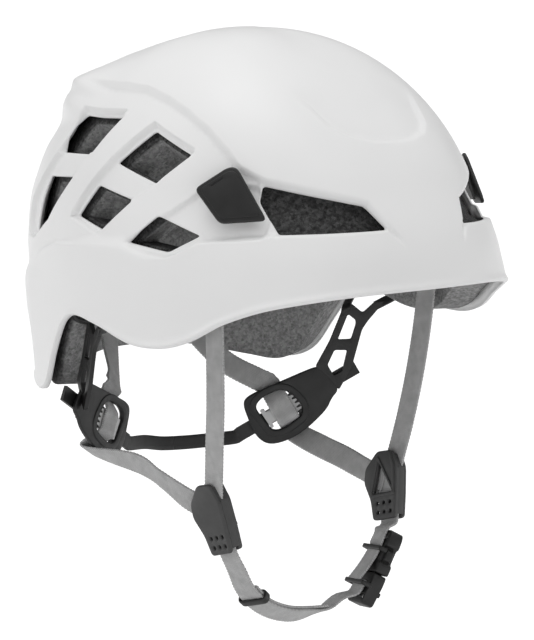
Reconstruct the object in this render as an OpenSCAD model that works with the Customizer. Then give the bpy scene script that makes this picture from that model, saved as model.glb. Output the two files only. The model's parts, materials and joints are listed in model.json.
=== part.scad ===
// Climbing helmet: white shell, foam liner, webbing harness, nape adjustment and chin buckle.
// Millimetres, +Z up, -Y is the front, +X is the wearer's left.
// The origin is on the mid-plane at the centre of the helmet's oval, level with the ear flaps' low points.

/* [Shell] */
// Half width of the shell at its widest
half_w = 104.5; // [102:0.5:106]
// Length of the shell from the centre to the front
front_l = 128; // [125:0.5:130]
// Length of the shell from the centre to the rear
rear_l = 134; // [131:0.5:136]
// Height of the crown
crown_h = 153; // [150:0.5:155]
// Height of the widest level
waist_z = 39; // [37:0.5:41]
// Shell wall
shell_t = 3; // [2.5:0.1:3.2]

/* [Liner] */
// Distance from the shell's outside to the liner's outside
liner_gap = 6.5; // [6.5:0.1:7]
// Distance from the shell's outside to the liner's inside
liner_in = 24; // [22:0.5:25]
// Height of the joint between the side liner and the crown liner
liner_seam_z = 112; // [105:1:118]

/* [Webbing] */
// Width of the webbing
web_w = 13; // [12:0.5:14]
// Thickness of the webbing
web_t = 1.4; // [1.2:0.1:1.6]

/* [Adjusters] */
// Thickness of the arms and plates that hold the nape band
yoke_t = 2.4; // [2:0.1:2.6]
// Height of the nape band
band_w = 8; // [7:0.5:8]
// Thickness of the nape band
band_t = 1.8; // [1.5:0.1:2]
// How far the left band tail runs past its adjuster's centre
tail_left_l = 52; // [48:1:54]
// How far the right band tail runs past its adjuster's centre
tail_right_l = 46; // [44:1:50]

/* [Buckle] */
// Length of the closed buckle
buckle_l = 42; // [40:1:44]
// Width of the buckle
buckle_w = 21; // [20:0.5:22]
// Thickness of the buckle
buckle_t = 8; // [7.5:0.5:8]

/* [Hidden] */

// Heights, widths and flare round the shell: [degrees from the front, value]
EDGE = [[0, 28], [25, 26.5], [45, 21], [56, 13.5], [64, 4], [71, -0.5], [79, 0], [88, 6], [96, 9.5],
        [101, 5], [106, -10], [112, -29], [119, -35.5], [130, -34], [155, -28], [180, -26.5]];
FLARE = [[0, 0.20], [45, 0.24], [70, 0.17], [95, 0.07], [120, -0.03], [180, -0.06]];
flare_from = 78;

// Vent outlines on the wearer's left: [degrees from the front, height] at each corner
VENTS = [
  [[103, 108], [90, 110], [96.5, 91], [109, 90]],
  [[78.5, 103], [66.5, 92], [75.5, 78], [87.5, 86]],
  [[113.5, 77], [101.5, 78], [110.5, 55], [120, 48]],
  [[92, 75.5], [81.5, 69], [90, 53], [98.5, 59]],
  [[74, 62.5], [63, 54], [71, 45], [82, 48.5]],
  [[45.5, 78], [18, 68], [14, 58], [42.5, 56.5], [47, 72]]
];

white = [0.93, 0.93, 0.93];
foam = [0.42, 0.42, 0.42];
pale_foam = [0.55, 0.55, 0.55];
black = [0.13, 0.13, 0.13];
dark_grey = [0.27, 0.27, 0.27];
pale_grey = [0.72, 0.72, 0.70];
web_grey = [0.60, 0.60, 0.58];
hole_fn = 24;

// ---------- Curves and surfaces ----------

function piece_of(pts, x, i = 0) = (i >= len(pts) - 2 || x < pts[i + 1][0]) ? i : piece_of(pts, x, i + 1);
function slope_at(pts, i) =
  (i == 0 || i == len(pts) - 1) ? 0 : (pts[i + 1][1] - pts[i - 1][1]) / (pts[i + 1][0] - pts[i - 1][0]);
// Smooth curve through points that rise in x
function curve(pts, x) =
  let (i = piece_of(pts, x), h = pts[i + 1][0] - pts[i][0], t = min(max((x - pts[i][0]) / h, 0), 1))
  (2 * pow(t, 3) - 3 * pow(t, 2) + 1) * pts[i][1] + (pow(t, 3) - 2 * pow(t, 2) + t) * h * slope_at(pts, i)
  + (3 * pow(t, 2) - 2 * pow(t, 3)) * pts[i + 1][1] + (pow(t, 3) - pow(t, 2)) * h * slope_at(pts, i + 1);

function fold(a) = let (b = abs(a) % 360) b > 180 ? 360 - b : b;
function front_side_rear(a, f, s, r) =
  let (wf = pow(max(cos(a), 0), 2), wr = pow(max(-cos(a), 0), 2)) f * wf + r * wr + s * (1 - wf - wr);
function spow(v, e) = sign(v) * pow(abs(v), e);

// A point of the dome: angle from the front towards the wearer's left, height, inward offset
function dome(a, z, inset = 0) =
  let (
    e = 2 / 2.15,
    x = (half_w - inset) * spow(sin(a), e),
    y = -((cos(a) > 0 ? front_l : rear_l) - inset) * spow(cos(a), e),
    p = front_side_rear(a, 1.7, 2.26, 2.26),
    rise = min(max((z - waist_z) / (crown_h - inset - waist_z), 0), 1),
    rho = pow(max(1 - pow(rise, p), 0), 1 / p),
    drop = max(flare_from - z, 0),
    out = curve(FLARE, fold(a)) * (drop < 12 ? drop * drop / 24 : drop - 6),
    k = rho + out / max(norm([x, y]), 1)
  ) [x * k, y * k, z];

// Heights of the rings from z_top down to the edge, closer together near the crown
function ring_z(a, i, n, z_top, lift) =
  let (low = curve(EDGE, fold(a)) + lift, t = i / n)
  t < 0.7
    ? waist_z + (z_top - waist_z) * sqrt(max(1 - pow(t / 0.7, 2), 0))
    : waist_z + (low - waist_z) * (t - 0.7) / 0.3;

function layer_point(a, i, n, inset, lift) = dome(a, ring_z(a, i, n, crown_h - inset, lift), inset);

// A closed layer between two offsets of the dome, from the crown down to the edge
module dome_layer(outer, inner, around, rings, lift) {
  last = around - 1;
  pts = concat(
    [[0, 0, crown_h - outer]],
    [for (i = [1:rings], j = [0:last]) layer_point(360 * j / around, i, rings, outer, lift)],
    [[0, 0, crown_h - inner]],
    [for (i = [1:rings], j = [0:last]) layer_point(360 * j / around, i, rings, inner, lift)]
  );
  base = 1 + rings * around;
  function at(side, i, j) = side * base + 1 + (i - 1) * around + (j % around);
  faces = concat(
    [for (j = [0:last]) [0, at(0, 1, j), at(0, 1, j + 1)]],
    [for (i = [1:rings - 1], j = [0:last]) [at(0, i, j), at(0, i + 1, j), at(0, i + 1, j + 1)]],
    [for (i = [1:rings - 1], j = [0:last]) [at(0, i, j), at(0, i + 1, j + 1), at(0, i, j + 1)]],
    [for (j = [0:last]) [base, at(1, 1, j + 1), at(1, 1, j)]],
    [for (i = [1:rings - 1], j = [0:last]) [at(1, i, j), at(1, i + 1, j + 1), at(1, i + 1, j)]],
    [for (i = [1:rings - 1], j = [0:last]) [at(1, i, j), at(1, i, j + 1), at(1, i + 1, j + 1)]],
    [for (j = [0:last]) [at(0, rings, j), at(1, rings, j), at(1, rings, j + 1)]],
    [for (j = [0:last]) [at(0, rings, j), at(1, rings, j + 1), at(0, rings, j + 1)]]
  );
  polyhedron(pts, [for (f = faces) [f[2], f[1], f[0]]], convexity = 10);
}

function middle(pts) = [for (p = pts) 1 / len(pts)] * pts;

// A prism through the wall: outline corners moved along the outline's own outward direction
module vent_prism(corners, side, shrink, out, depth) {
  flat = middle(corners);
  ring = [for (c = corners) let (q = flat + (c - flat) * shrink) dome(side * q[0], q[1])];
  centre = middle(ring);
  dir = cross(ring[2] - ring[0], ring[3] - ring[1]);
  away = dir * centre > 0 ? dir / norm(dir) : -dir / norm(dir);
  n = len(corners);
  turn = cross(ring[1] - ring[0], ring[2] - ring[1]) * away > 0;
  pts = concat([for (p = ring) p + away * out], [for (p = ring) p - away * depth]);
  faces = concat(
    [for (i = [0:n - 1]) [i, (i + 1) % n, n + (i + 1) % n]],
    [for (i = [0:n - 1]) [i, n + (i + 1) % n, n + i]],
    [for (i = [1:n - 2]) [0, i + 1, i]],
    [for (i = [1:n - 2]) [n, n + i, n + i + 1]]
  );
  polyhedron(pts, turn ? faces : [for (f = faces) [f[2], f[1], f[0]]]);
}

// Only the first count vents, counted from the rear
module vent_cuts(count, shrink, out, depth) {
  for (i = [0:count - 1], side = [-1, 1]) vent_prism(VENTS[i], side, shrink, out, depth);
}

// ---------- Ribbons ----------

function unit(v) = v / norm(v);
function knot(route, i) = route[min(max(i, 0), len(route) - 1)];
// A point of the smooth line through a route, with its width direction
function along(route, s) =
  let (
    i = min(floor(s), len(route) - 2), t = s - i, t2 = pow(t, 2), t3 = pow(t, 3),
    a = knot(route, i - 1), b = knot(route, i), c = knot(route, i + 1), d = knot(route, i + 2),
    h = [2 * t3 - 3 * t2 + 1, t3 - 2 * t2 + t, 3 * t2 - 2 * t3, t3 - t2]
  ) [for (k = [0, 1]) b[k] * h[0] + (c[k] - a[k]) / 2 * h[1] + c[k] * h[2] + (d[k] - b[k]) / 2 * h[3]];

// A flat strip along a route of [point, width direction]: steps rings between points, moved along its normal
module ribbon(route, w, t, steps = 3, shift = 0) {
  n = (len(route) - 1) * steps;
  line = [for (i = [0:n]) along(route, i / steps)];
  pts = [
    for (i = [0:n])
      let (
        dir = unit(line[min(i + 1, n)][0] - line[max(i - 1, 0)][0]),
        side = unit(line[i][1] - dir * (line[i][1] * dir)),
        up = cross(dir, side)
      )
      for (c = [[-1, -1], [1, -1], [1, 1], [-1, 1]])
        line[i][0] + side * c[0] * w / 2 + up * (c[1] * t / 2 + shift)
  ];
  faces = concat(
    [[0, 1, 2], [0, 2, 3], [4 * n, 4 * n + 2, 4 * n + 1], [4 * n, 4 * n + 3, 4 * n + 2]],
    [for (i = [0:n - 1], k = [0:3], h = [0, 1])
      let (a = 4 * i + k, b = 4 * i + (k + 1) % 4) h == 0 ? [a, a + 4, b + 4] : [a, b + 4, b]]
  );
  polyhedron(pts, faces, convexity = 6);
}

module both(side) {
  mirror([side < 0 ? 1 : 0, 0, 0]) children();
}

// ---------- Shell and foam ----------

module outer_shell() {
  color(white) difference() {
    dome_layer(0, shell_t, 72, 20, 0);
    vent_cuts(len(VENTS), 1, 15, 18);
    for (side = [-1, 1]) at_clip(side) {
      linear_extrude(6) offset(delta = 0.8) polygon(clip_outline);
      translate([0, 0, -0.6]) linear_extrude(6) offset(delta = -2.9) polygon(clip_outline);
    }
  }
}

module side_liner_zone() {
  translate([-150, -150, -60]) cube([300, 300, 60 + liner_seam_z]);
}

module epp_liner() {
  color(foam) difference() {
    intersection() {
      dome_layer(liner_gap, liner_in, 56, 14, 5);
      side_liner_zone();
    }
    vent_cuts(len(VENTS) - 1, 0.8, 15, 60);
    for (side = [-1, 1]) both(side) translate([77.3, -52, 20]) cube([3.6, web_w + 3, 44], center = true);
  }
}

module crown_liner() {
  color(pale_foam) difference() {
    dome_layer(liner_gap, liner_in, 56, 14, 5);
    translate([0, 0, 0.3]) side_liner_zone();
  }
}

// The soft pads follow the liner's inside
module inner_layer(thick) {
  dome_layer(liner_in + 0.2, liner_in + 0.2 + thick, 56, 14, 5);
}

module forehead_pad() {
  color(black) intersection() {
    inner_layer(5);
    translate([-62, -150, 35]) cube([124, 100, 24]);
  }
}

module crown_pad() {
  color(black) intersection() {
    inner_layer(4);
    translate([0, 6, 90]) scale([1, 1.25, 1]) cylinder(h = 60, d = 64, $fn = 48);
  }
}

// ---------- Headlamp clips ----------

clip_at = [84.6, -72.6, 73.8];
clip_turn = -36;
clip_lift = 16;
clip_sink = 1.4;
clip_gap = 1.4;
clip_outline = [[-13.5, 0.5], [-13.5, -4], [12.5, -20], [14.5, 3], [-2.6, 16.5]];

// Children have +Z out of the shell, +X down it and +Y to the rear
module at_clip(side) {
  both(side) translate(clip_at) rotate([0, 90 - clip_lift, clip_turn]) translate([0, 0, -clip_sink])
    children();
}

module clip_base(side) {
  color(black) at_clip(side) {
    translate([0, 0, -0.6]) linear_extrude(1.2) offset(delta = -3) polygon(clip_outline);
    translate([-10.5, -3, 0.6]) cube([3, 4.5, clip_gap]);
  }
}

module clip_tab(side) {
  color(black) at_clip(side) translate([0, 0, 0.7 + clip_gap])
    linear_extrude(2.2) offset(r = 1) offset(delta = -1) polygon(clip_outline);
}

// ---------- Arms and adjusters ----------

// Directions of a plate or arm, and a point by it: distances along it, up it and out of it
function sided(p, side) = [side * p[0], p[1], p[2]];
function along_of(place, side) =
  let (turn = place[1], rise = place[2])
    sided([cos(rise) * sin(turn), -cos(rise) * cos(turn), sin(rise)], side);
function up_of(place, side) =
  let (turn = place[1], rise = place[2])
    sided([-sin(rise) * sin(turn), sin(rise) * cos(turn), cos(rise)], side);
function out_of(place, side) = sided([cos(place[1]), sin(place[1]), 0], side);
function by(place, side, u, v, out) =
  sided(place[0], side) + along_of(place, side) * u + up_of(place, side) * v + out_of(place, side) * out;

// The soft arms let each adjuster hang its own way, so each side has its own place, turn from
// straight ahead and rise to the front, as the wearer's left would see it: first left, then right
PLATES = [[[53, 43, -59], 50, 30], [[58, 49, -53], 72, 30]];
ARMS = [[[53, 43, -59], 50, 30], [[72.6, 70.4, -50], 22, 24]];
function of_side(list, side) = list[side > 0 ? 0 : 1];

// Children have +X along the plate to the front, +Y up it and +Z towards the head
module at_place(place, side) {
  both(side) translate(place[0]) rotate([90, 0, place[1] - 90]) rotate([0, 0, place[2]]) children();
}

module at_plate(side) {
  at_place(of_side(PLATES, side), side) children();
}

plate_outline = [
  [-8, 13], [30, 8.5], [34, 7], [38, -9.5], [31, -12], [26, -16],
  [11, -20], [-2, -20.5], [-13, -17], [-16.5, -8], [-13.5, 11]
];
plate_window = [[-8.5, 6], [-3, 9], [9, 8.5], [15, 4.5], [18, -7], [16, -13], [1, -15], [-6.5, -12.5]];
arm_outline = [
  [32, 8], [46, 16.5], [62, 29], [67, 29], [70, 21], [79, 23],
  [84, 20.5], [70, 15.5], [65, 13], [50, -2], [37, -10]
];
arm_windows = [
  [[62.5, 24.5], [64.5, 19.5], [63.5, 17.5], [57, 11.5], [50.5, 15]],
  [[46, 10.8], [52, 7.2], [44, -1.5], [38.5, -1.5], [38.5, 5.5]]
];

// The legs run on from the flat arm into the gap between shell and liner
leg_gap = 4.8;
leg_w = 5;
leg_t = 1.8;
function front_leg(side) = let (arm = of_side(ARMS, side)) [
  [by(arm, side, 78, 20.8, 0), up_of(arm, side)], [by(arm, side, 83, 20.5, 0), [0, 0.5, 0.8]],
  [dome(side * 89, 5, leg_gap + 1.2), [side * 0.1, 1, 0.5]],
  [dome(side * 86, 14, leg_gap), [side * 0.1, 1, 0.2]], [dome(side * 84, 29, leg_gap), [side * 0.1, 1, 0]]
];
function rear_leg(side) = let (arm = of_side(ARMS, side)) [
  [by(arm, side, 61, 25, 0), along_of(arm, side)], [by(arm, side, 64.5, 29, 0), along_of(arm, side)],
  [dome(side * 100.3, 7, leg_gap + 0.7), [side * 0.2, -1, 0]],
  [dome(side * 102, 19, leg_gap + 0.4), [side * 0.2, -1, 0]],
  [dome(side * 102, 31, leg_gap), [side * 0.2, -1, 0]]
];

module arm_pegs() {
  color(black) for (side = [-1, 1], a = [84, 102]) {
    at = dome(side * a, 27, leg_gap);
    translate(at) rotate([0, 90, atan2(at[1], at[0]) - 2 * side])
      cylinder(h = 2.6, d = 3.6, center = true, $fn = hole_fn);
  }
}

module yoke(side) {
  color(black) {
    ribbon(front_leg(side), leg_w, leg_t);
    ribbon(rear_leg(side), leg_w, leg_t);
  }
  color(black) at_plate(side) linear_extrude(yoke_t, center = true) difference() {
    offset(r = 4) offset(delta = -4) polygon(plate_outline);
    offset(r = 2) offset(delta = -2) polygon(plate_window);
  }
  color(black) at_place(of_side(ARMS, side), side) linear_extrude(yoke_t, center = true) difference() {
    polygon(arm_outline);
    for (w = arm_windows) offset(r = 0.8) offset(delta = -0.8) polygon(w);
  }
}

// Track of the nape band on the outer face of the plate
track_y = -4;
track_gap = 0.5;
band_out = yoke_t / 2 + track_gap + band_t / 2;

module adjuster_guide(side) {
  inside = -yoke_t / 2;
  color(black) at_plate(side) for (x = [-14.5, 21.5]) translate([x, track_y, inside]) rotate([180, 0, 0])
    difference() {
      translate([0, -band_w / 2 - 2, 0]) cube([4, band_w + 4, band_t + 2 * track_gap + 1.6]);
      translate([-1, -band_w / 2 - track_gap, -1])
        cube([6, band_w + 2 * track_gap, band_t + 2 * track_gap + 1]);
    }
}

module strap_slider(side) {
  color(pale_grey) at_plate(side) translate([4.3, -3.2, 0]) difference() {
    linear_extrude(1.6, center = true)
      polygon([[-11.4, 5.5], [8, 5.5], [11.4, 1], [11.4, -3], [8, -6.5], [-10.8, -6.5]]);
    for (y = [-7, 6]) translate([-6.5, y, 0]) cube([4, 6, 3], center = true);
  }
}

// ---------- Nape band ----------

// Where the tails end and the bending middle of the band begins, along each plate
band_split = -24;
NAPE = [[-23, 63.5, -73], [-8, 66.5, -75], [8, 66.5, -76.5], [22, 63.5, -77.5]];
function band_end(side, u) =
  let (plate = of_side(PLATES, side)) [by(plate, side, u, track_y, band_out), up_of(plate, side)];

module nape_band() {
  route = concat(
    [band_end(-1, band_split - 1.4), band_end(-1, band_split - 5)],
    [for (p = NAPE) [p, [0, 0.1, 1]]],
    [band_end(1, band_split - 5), band_end(1, band_split - 1.4)]
  );
  color(black) ribbon(route, band_w, band_t, 4);
}

module nape_band_tail(side, length) {
  color(black) at_plate(side) translate([band_split, track_y - band_w / 2, -band_out - band_t / 2])
    cube([length - band_split, band_w, band_t]);
}

// ---------- Places of the dividers ----------

divider_at = [62, -38, -92];
divider_lean = 16;
divider_tuck = 11;
divider_outline = [
  [-8, 17.5], [2.5, 18], [12, 9.5], [13.5, 2], [9.5, -8], [8.5, -19], [-7.5, -19], [-9.5, -6], [-11, 8]
];
plate_thick = 2.6;
// Half the gap between the two plates, where the webbing crosses
half_gap = web_t + 0.4;

// A point by the divider: distances to the rear, up and out
function on_divider(side, x, y, z) =
  let (t = divider_tuck, l = divider_lean, q = y * cos(l) - x * sin(l))
  sided(divider_at + [z * cos(t) + q * sin(t), x * cos(l) + y * sin(l), q * cos(t) - z * sin(t)], side);

// ---------- Webbing ----------

FRONT_STRAP = [
  [[77.4, -52, 37], [0, 1, 0]], [[77, -52, 24], [0, 1, 0]], [[75.3, -52, 8], [0, 1, 0]],
  [[73.5, -50.5, -12], [0, 1, 0]], [[71.2, -48, -34], [0, 1, 0]], [[68.4, -44, -58], [0, 1, 0]],
  [on_divider(1, -2.3, 5, 0.9), [0, 1, 0]]
];
function route_on(route, side) = [for (r = route) [sided(r[0], side), sided(r[1], side)]];

// The rear strap passes outside the plate's rims and inside the slider
REAR_STRAP_TOP = [
  [[17, 100, 0.6], [1, -0.2, 0]], [[29, 86, -16], [0.8, 0.1, 0.5]], [[40, 69, -34], [0.7, -0.2, 0.6]]
];
THREADING = [
  [0, 18.5, 5], [4, 13, 4.3], [4.5, 9, 3.4], [4.5, 2.6, -1.8],
  [4.5, -3.5, -1.9], [4.5, -9.6, -1.8], [4.5, -15, 4.5], [4.5, -20.5, 5.4]
];
// How each rear strap hangs below its adjuster: first left, then right
REAR_SAG = [[[64.6, 14.6, -79], [63.2, -2, -81.8]], [[67.4, 16.9, -71.5], [65.2, 0, -78]]];
function rear_strap_end(side) = concat(
  [for (p = of_side(REAR_SAG, side)) [sided(p, side), sided([0.4, 0.15, 0.9], side)]],
  [for (p = [[18.5, 12, -0.4], [5, 4.5, -0.75]])
    [on_divider(side, p[0], p[1], p[2]), sided([0.18, 0.28, 0.94], side)]]
);

module front_strap(side) {
  color(web_grey) ribbon(route_on(FRONT_STRAP, side), web_w, web_t);
}

module rear_strap(side) {
  plate = of_side(PLATES, side);
  threaded = [for (p = THREADING) [by(plate, side, p[0], p[1], p[2]), along_of(plate, side)]];
  route = concat(route_on(REAR_STRAP_TOP, side), threaded, rear_strap_end(side));
  color(web_grey) ribbon(route, web_w, web_t);
}

module front_strap_anchor(side) {
  color(black) both(side) translate([77.3, -52, 39.4]) rotate([90, 0, 0])
    cylinder(h = web_w + 2, d = 3.2, center = true, $fn = hole_fn);
}

module rear_strap_anchor() {
  color(black) for (side = [-1, 1]) both(side) translate([17, 101.6, 10]) rotate([0, 0, -12.8])
    cube([16, 2.6, 11], center = true);
}

// ---------- Dividers ----------

// Children have +X to the rear, +Y up and +Z out of the head
module at_divider(side) {
  both(side) translate(divider_at) rotate([0, divider_tuck, 0]) rotate([-divider_lean, 0, 0])
    rotate([90, 0, 90]) children();
}

module divider_shape() {
  offset(r = 2) offset(delta = -2) polygon(divider_outline);
}

module divider_outer(side) {
  color(dark_grey) at_divider(side) translate([0, 0, half_gap]) difference() {
    linear_extrude(plate_thick) divider_shape();
    for (x = [-4.5, 0, 4.5], y = [-15, -10]) translate([x, y, -1]) cylinder(h = 5, d = 1.8, $fn = hole_fn);
  }
}

module divider_inner(side) {
  color(dark_grey) at_divider(side) translate([0, 0, -half_gap - plate_thick]) difference() {
    linear_extrude(plate_thick) divider_shape();
    translate([0, 0, -1]) linear_extrude(5) polygon([[1.5, 11.5], [7, -4.5], [-6.5, -4.5]]);
    for (x = [-4.5, 0, 4.5], y = [-15, -10]) translate([x, y, -1]) cylinder(h = 5, d = 1.8, $fn = hole_fn);
  }
}

// ---------- Chin strap and buckle ----------

buckle_top = [54.8, -47.2, -115.6];
buckle_dir = [-0.50, 0.05, -0.865];
buckle_face = [0.808, -0.334, -0.486];

// Directions of the buckle: along it from the female end, across it and off its outer face
BUCKLE_X = unit(buckle_dir);
BUCKLE_Z = unit(buckle_face - BUCKLE_X * (buckle_face * BUCKLE_X));
BUCKLE_Y = cross(BUCKLE_Z, BUCKLE_X);
function on_buckle(x, z) = buckle_top + BUCKLE_X * x + BUCKLE_Z * z;
inner_face = -buckle_t / 2 - web_t / 2 - 0.15;

CHIN_STRAP = [
  [on_divider(-1, 0, -8, 0), [0, 0.96, -0.28]], [on_divider(-1, 0.5, -20, -0.5), [0, 0.96, -0.28]],
  [[-54, -44.5, -119.5], [0, 0.94, -0.34]], [[-46.5, -43.5, -131.5], [0, 0.9, -0.43]],
  [[-34, -41.5, -142], [0.05, 0.85, -0.52]], [[-18, -39.5, -149.5], [0.1, 0.8, -0.6]],
  [[-2, -38.5, -153], [0.1, 0.8, -0.6]], [[12, -39, -152.5], [0.05, 1, -0.3]],
  [[24, -39.5, -147.5], [0.3, 1, -0.1]],
  [on_buckle(37.5, inner_face - 1), BUCKLE_Y], [on_buckle(30, inner_face - 0.1), BUCKLE_Y]
];
// The loose end lies on the strap's inner face
TAIL_STRAP = [for (i = [3:7]) CHIN_STRAP[i]];
keeper_s = 3.55;
BUCKLE_STRAP = [
  [on_divider(1, 0, -8, 0), [0, 0.96, -0.28]], [on_divider(1, 0, -20, -0.3), [0, 0.96, -0.28]],
  [on_buckle(1, inner_face - 0.7), BUCKLE_Y], [on_buckle(12, inner_face), BUCKLE_Y],
  [on_buckle(22, inner_face - 1.5), BUCKLE_Y], [on_buckle(31, inner_face - 4), BUCKLE_Y]
];

// Directions along a strap, across it and off its face
function tangent(route, s) = unit(along(route, s + 0.05)[0] - along(route, s - 0.05)[0]);
function across(route, s) = let (d = tangent(route, s), w = along(route, s)[1]) unit(w - d * (w * d));

// Children have the axes x and y and their cross product, from the origin at
module with_axes(x, y, at) {
  z = cross(x, y);
  multmatrix([for (k = [0:2]) [x[k], y[k], z[k], at[k]]]) children();
}

module at_strap(route, s) {
  with_axes(tangent(route, s), across(route, s), along(route, s)[0]) children();
}

module chin_strap() {
  color(web_grey) ribbon(CHIN_STRAP, web_w, web_t, 4);
}

module chin_strap_tail() {
  color(web_grey) ribbon(TAIL_STRAP, web_w, web_t, 4, shift = 1.75);
}

module buckle_strap() {
  color(web_grey) ribbon(BUCKLE_STRAP, web_w, web_t);
}

// Children have +X along the buckle from the female end, +Y across it and +Z to its outer face
module at_buckle() {
  with_axes(BUCKLE_X, BUCKLE_Y, buckle_top) children();
}

module buckle_female() {
  color(black) at_buckle() difference() {
    translate([0, -buckle_w / 2, -buckle_t / 2]) cube([24, buckle_w, buckle_t]);
    translate([6, -buckle_w / 2 + 2.5, -buckle_t / 2 + 1.8]) cube([20, buckle_w - 5, buckle_t - 3.6]);
    for (s = [-1, 1]) translate([9, s * buckle_w / 2 - 3, -2.4]) cube([9, 6, 4.8]);
    translate([2.2, -7.5, -buckle_t]) cube([2.2, 15, 2 * buckle_t]);
  }
}

module buckle_male() {
  color(black) at_buckle() {
    difference() {
      translate([24.4, -buckle_w / 2, -buckle_t / 2]) cube([buckle_l - 24.4, buckle_w, buckle_t]);
      for (x = [30, 36.5]) translate([x, -7.5, -buckle_t]) cube([3, 15, 2 * buckle_t]);
    }
    translate([7, -2, -1.4]) cube([18, 4, 2.8]);
  }
}

module buckle_prongs() {
  color(black) at_buckle() for (s = [-1, 1]) {
    translate([7, s * 6 - 1.2, -1.4]) cube([17.4, 2.4, 2.8]);
    translate([9.5, s * 8.3 - 1.6, -1.4]) cube([8, 3.2, 2.8]);
  }
}

module strap_keeper() {
  loop_w = web_w + 3.4;
  loop_t = 2 * web_t + 3.8;
  color(black) at_strap(CHIN_STRAP, keeper_s) translate([0, 0, 0.85]) difference() {
    cube([4.6, loop_w, loop_t], center = true);
    cube([6, web_w + 0.8, 2 * web_t + 1.8], center = true);
  }
}

outer_shell();
epp_liner();
crown_liner();
forehead_pad();
crown_pad();
clip_base(1);  // clip_base_left
clip_base(-1);  // clip_base_right
clip_tab(1);  // clip_tab_left
clip_tab(-1);  // clip_tab_right
yoke(1);  // yoke_left
yoke(-1);  // yoke_right
arm_pegs();
adjuster_guide(1);  // adjuster_guide_left
adjuster_guide(-1);  // adjuster_guide_right
strap_slider(1);  // strap_slider_left
strap_slider(-1);  // strap_slider_right
nape_band();
nape_band_tail(1, tail_left_l);  // nape_band_tail_left
nape_band_tail(-1, tail_right_l);  // nape_band_tail_right
front_strap(1);  // front_strap_left
front_strap(-1);  // front_strap_right
rear_strap(1);  // rear_strap_left
rear_strap(-1);  // rear_strap_right
front_strap_anchor(1);  // front_strap_anchor_left
front_strap_anchor(-1);  // front_strap_anchor_right
rear_strap_anchor();
divider_outer(1);  // divider_outer_left
divider_outer(-1);  // divider_outer_right
divider_inner(1);  // divider_inner_left
divider_inner(-1);  // divider_inner_right
chin_strap();
chin_strap_tail();
buckle_strap();
strap_keeper();
buckle_female();
buckle_male();
buckle_prongs();
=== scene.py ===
import json
import math
from functools import partial

import bmesh
import bpy
import numpy as np
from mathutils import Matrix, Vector
from mathutils.geometry import delaunay_2d_cdt


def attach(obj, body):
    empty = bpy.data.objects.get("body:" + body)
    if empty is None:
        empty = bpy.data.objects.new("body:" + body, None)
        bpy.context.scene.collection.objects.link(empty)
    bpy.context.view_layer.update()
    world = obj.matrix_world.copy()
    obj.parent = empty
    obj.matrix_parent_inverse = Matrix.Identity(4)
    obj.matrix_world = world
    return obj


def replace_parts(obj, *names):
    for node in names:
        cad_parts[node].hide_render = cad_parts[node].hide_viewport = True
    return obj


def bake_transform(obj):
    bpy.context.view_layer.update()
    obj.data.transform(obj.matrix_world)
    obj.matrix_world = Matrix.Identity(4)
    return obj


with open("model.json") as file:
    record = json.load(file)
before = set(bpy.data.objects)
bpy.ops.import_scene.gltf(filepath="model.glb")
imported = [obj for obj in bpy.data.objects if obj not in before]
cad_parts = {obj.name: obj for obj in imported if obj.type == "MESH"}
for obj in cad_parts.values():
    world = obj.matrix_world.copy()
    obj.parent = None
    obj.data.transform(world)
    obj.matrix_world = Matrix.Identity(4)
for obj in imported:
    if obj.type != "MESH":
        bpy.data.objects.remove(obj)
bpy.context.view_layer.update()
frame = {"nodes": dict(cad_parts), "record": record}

# Lengths are in millimetres until a mesh is made, and angles in degrees. +Z is up, -Y the front, +X the wearer's left.
MM = 0.001

SIDES = ((1, "left"), (-1, "right"))

# ---------- The helmet's own sizes ----------

HALF_W, FRONT_L, REAR_L, CROWN, WAIST = 104.5, 128.0, 134.0, 153.0, 39.0
SHELL_T = 3.0
LINER_GAP, LINER_IN, LINER_LIFT = 5.6, 24.0, 1.8
WEB_W, WEB_T = 13.0, 1.4
POWER = 2 / 2.15

# Height of the lower edge and outward lean of the wall: (degrees from the front, value)
EDGE = [(0, 28), (25, 26.5), (45, 21), (56, 13.5), (64, 4), (71, -0.5), (79, 0), (88, 6), (96, 9.5),
        (101, 5), (106, -10), (112, -29), (119, -35.5), (130, -34), (155, -28), (180, -26.5)]
FLARE = [(0, 0.20), (45, 0.24), (70, 0.17), (95, 0.07), (120, -0.03), (180, -0.06)]
FLARE_FROM = 78.0

# Outlines on the shell, each corner as (degrees from the front, height), the same on both sides
VENTS = [
    [(112.5, 110.7), (92.4, 111.5), (98.9, 91.7), (116.2, 90.8)],
    [(81.5, 105.5), (68.2, 94.2), (76.7, 78.4), (90.6, 88.1)],
    [(120, 77.2), (104, 79), (113.5, 54.3), (124, 46.4)],
    [(95, 76), (83, 69.7), (90.8, 53.3), (100.8, 59.4)],
    [(74.8, 63.4), (63.4, 55.2), (71.5, 46.2), (82.8, 49.3)],
    [(46.8, 79.3), (18.2, 69.3), (13.6, 58), (43, 56.5), (48, 72.5)],
]
CAP_LINE = [(8, 47), (10, 55), (13, 60), (17, 71), (32, 77), (46, 82.5), (52.5, 88), (56, 95.5), (62.5, 106), (70, 114),
            (78, 120), (88, 124.6), (98, 126), (118, 125.5), (135, 122.5), (160, 119), (180, 117)]
BAND_LINE = [(180, 22), (150, 23), (130, 27), (121.8, 31.8), (113.8, 39), (106.8, 43), (97, 44), (84, 45), (76, 41),
             (70, 42.5), (62.8, 51), (52.5, 53.5), (42.5, 55), (14, 56.5), (10, 48)]
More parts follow.
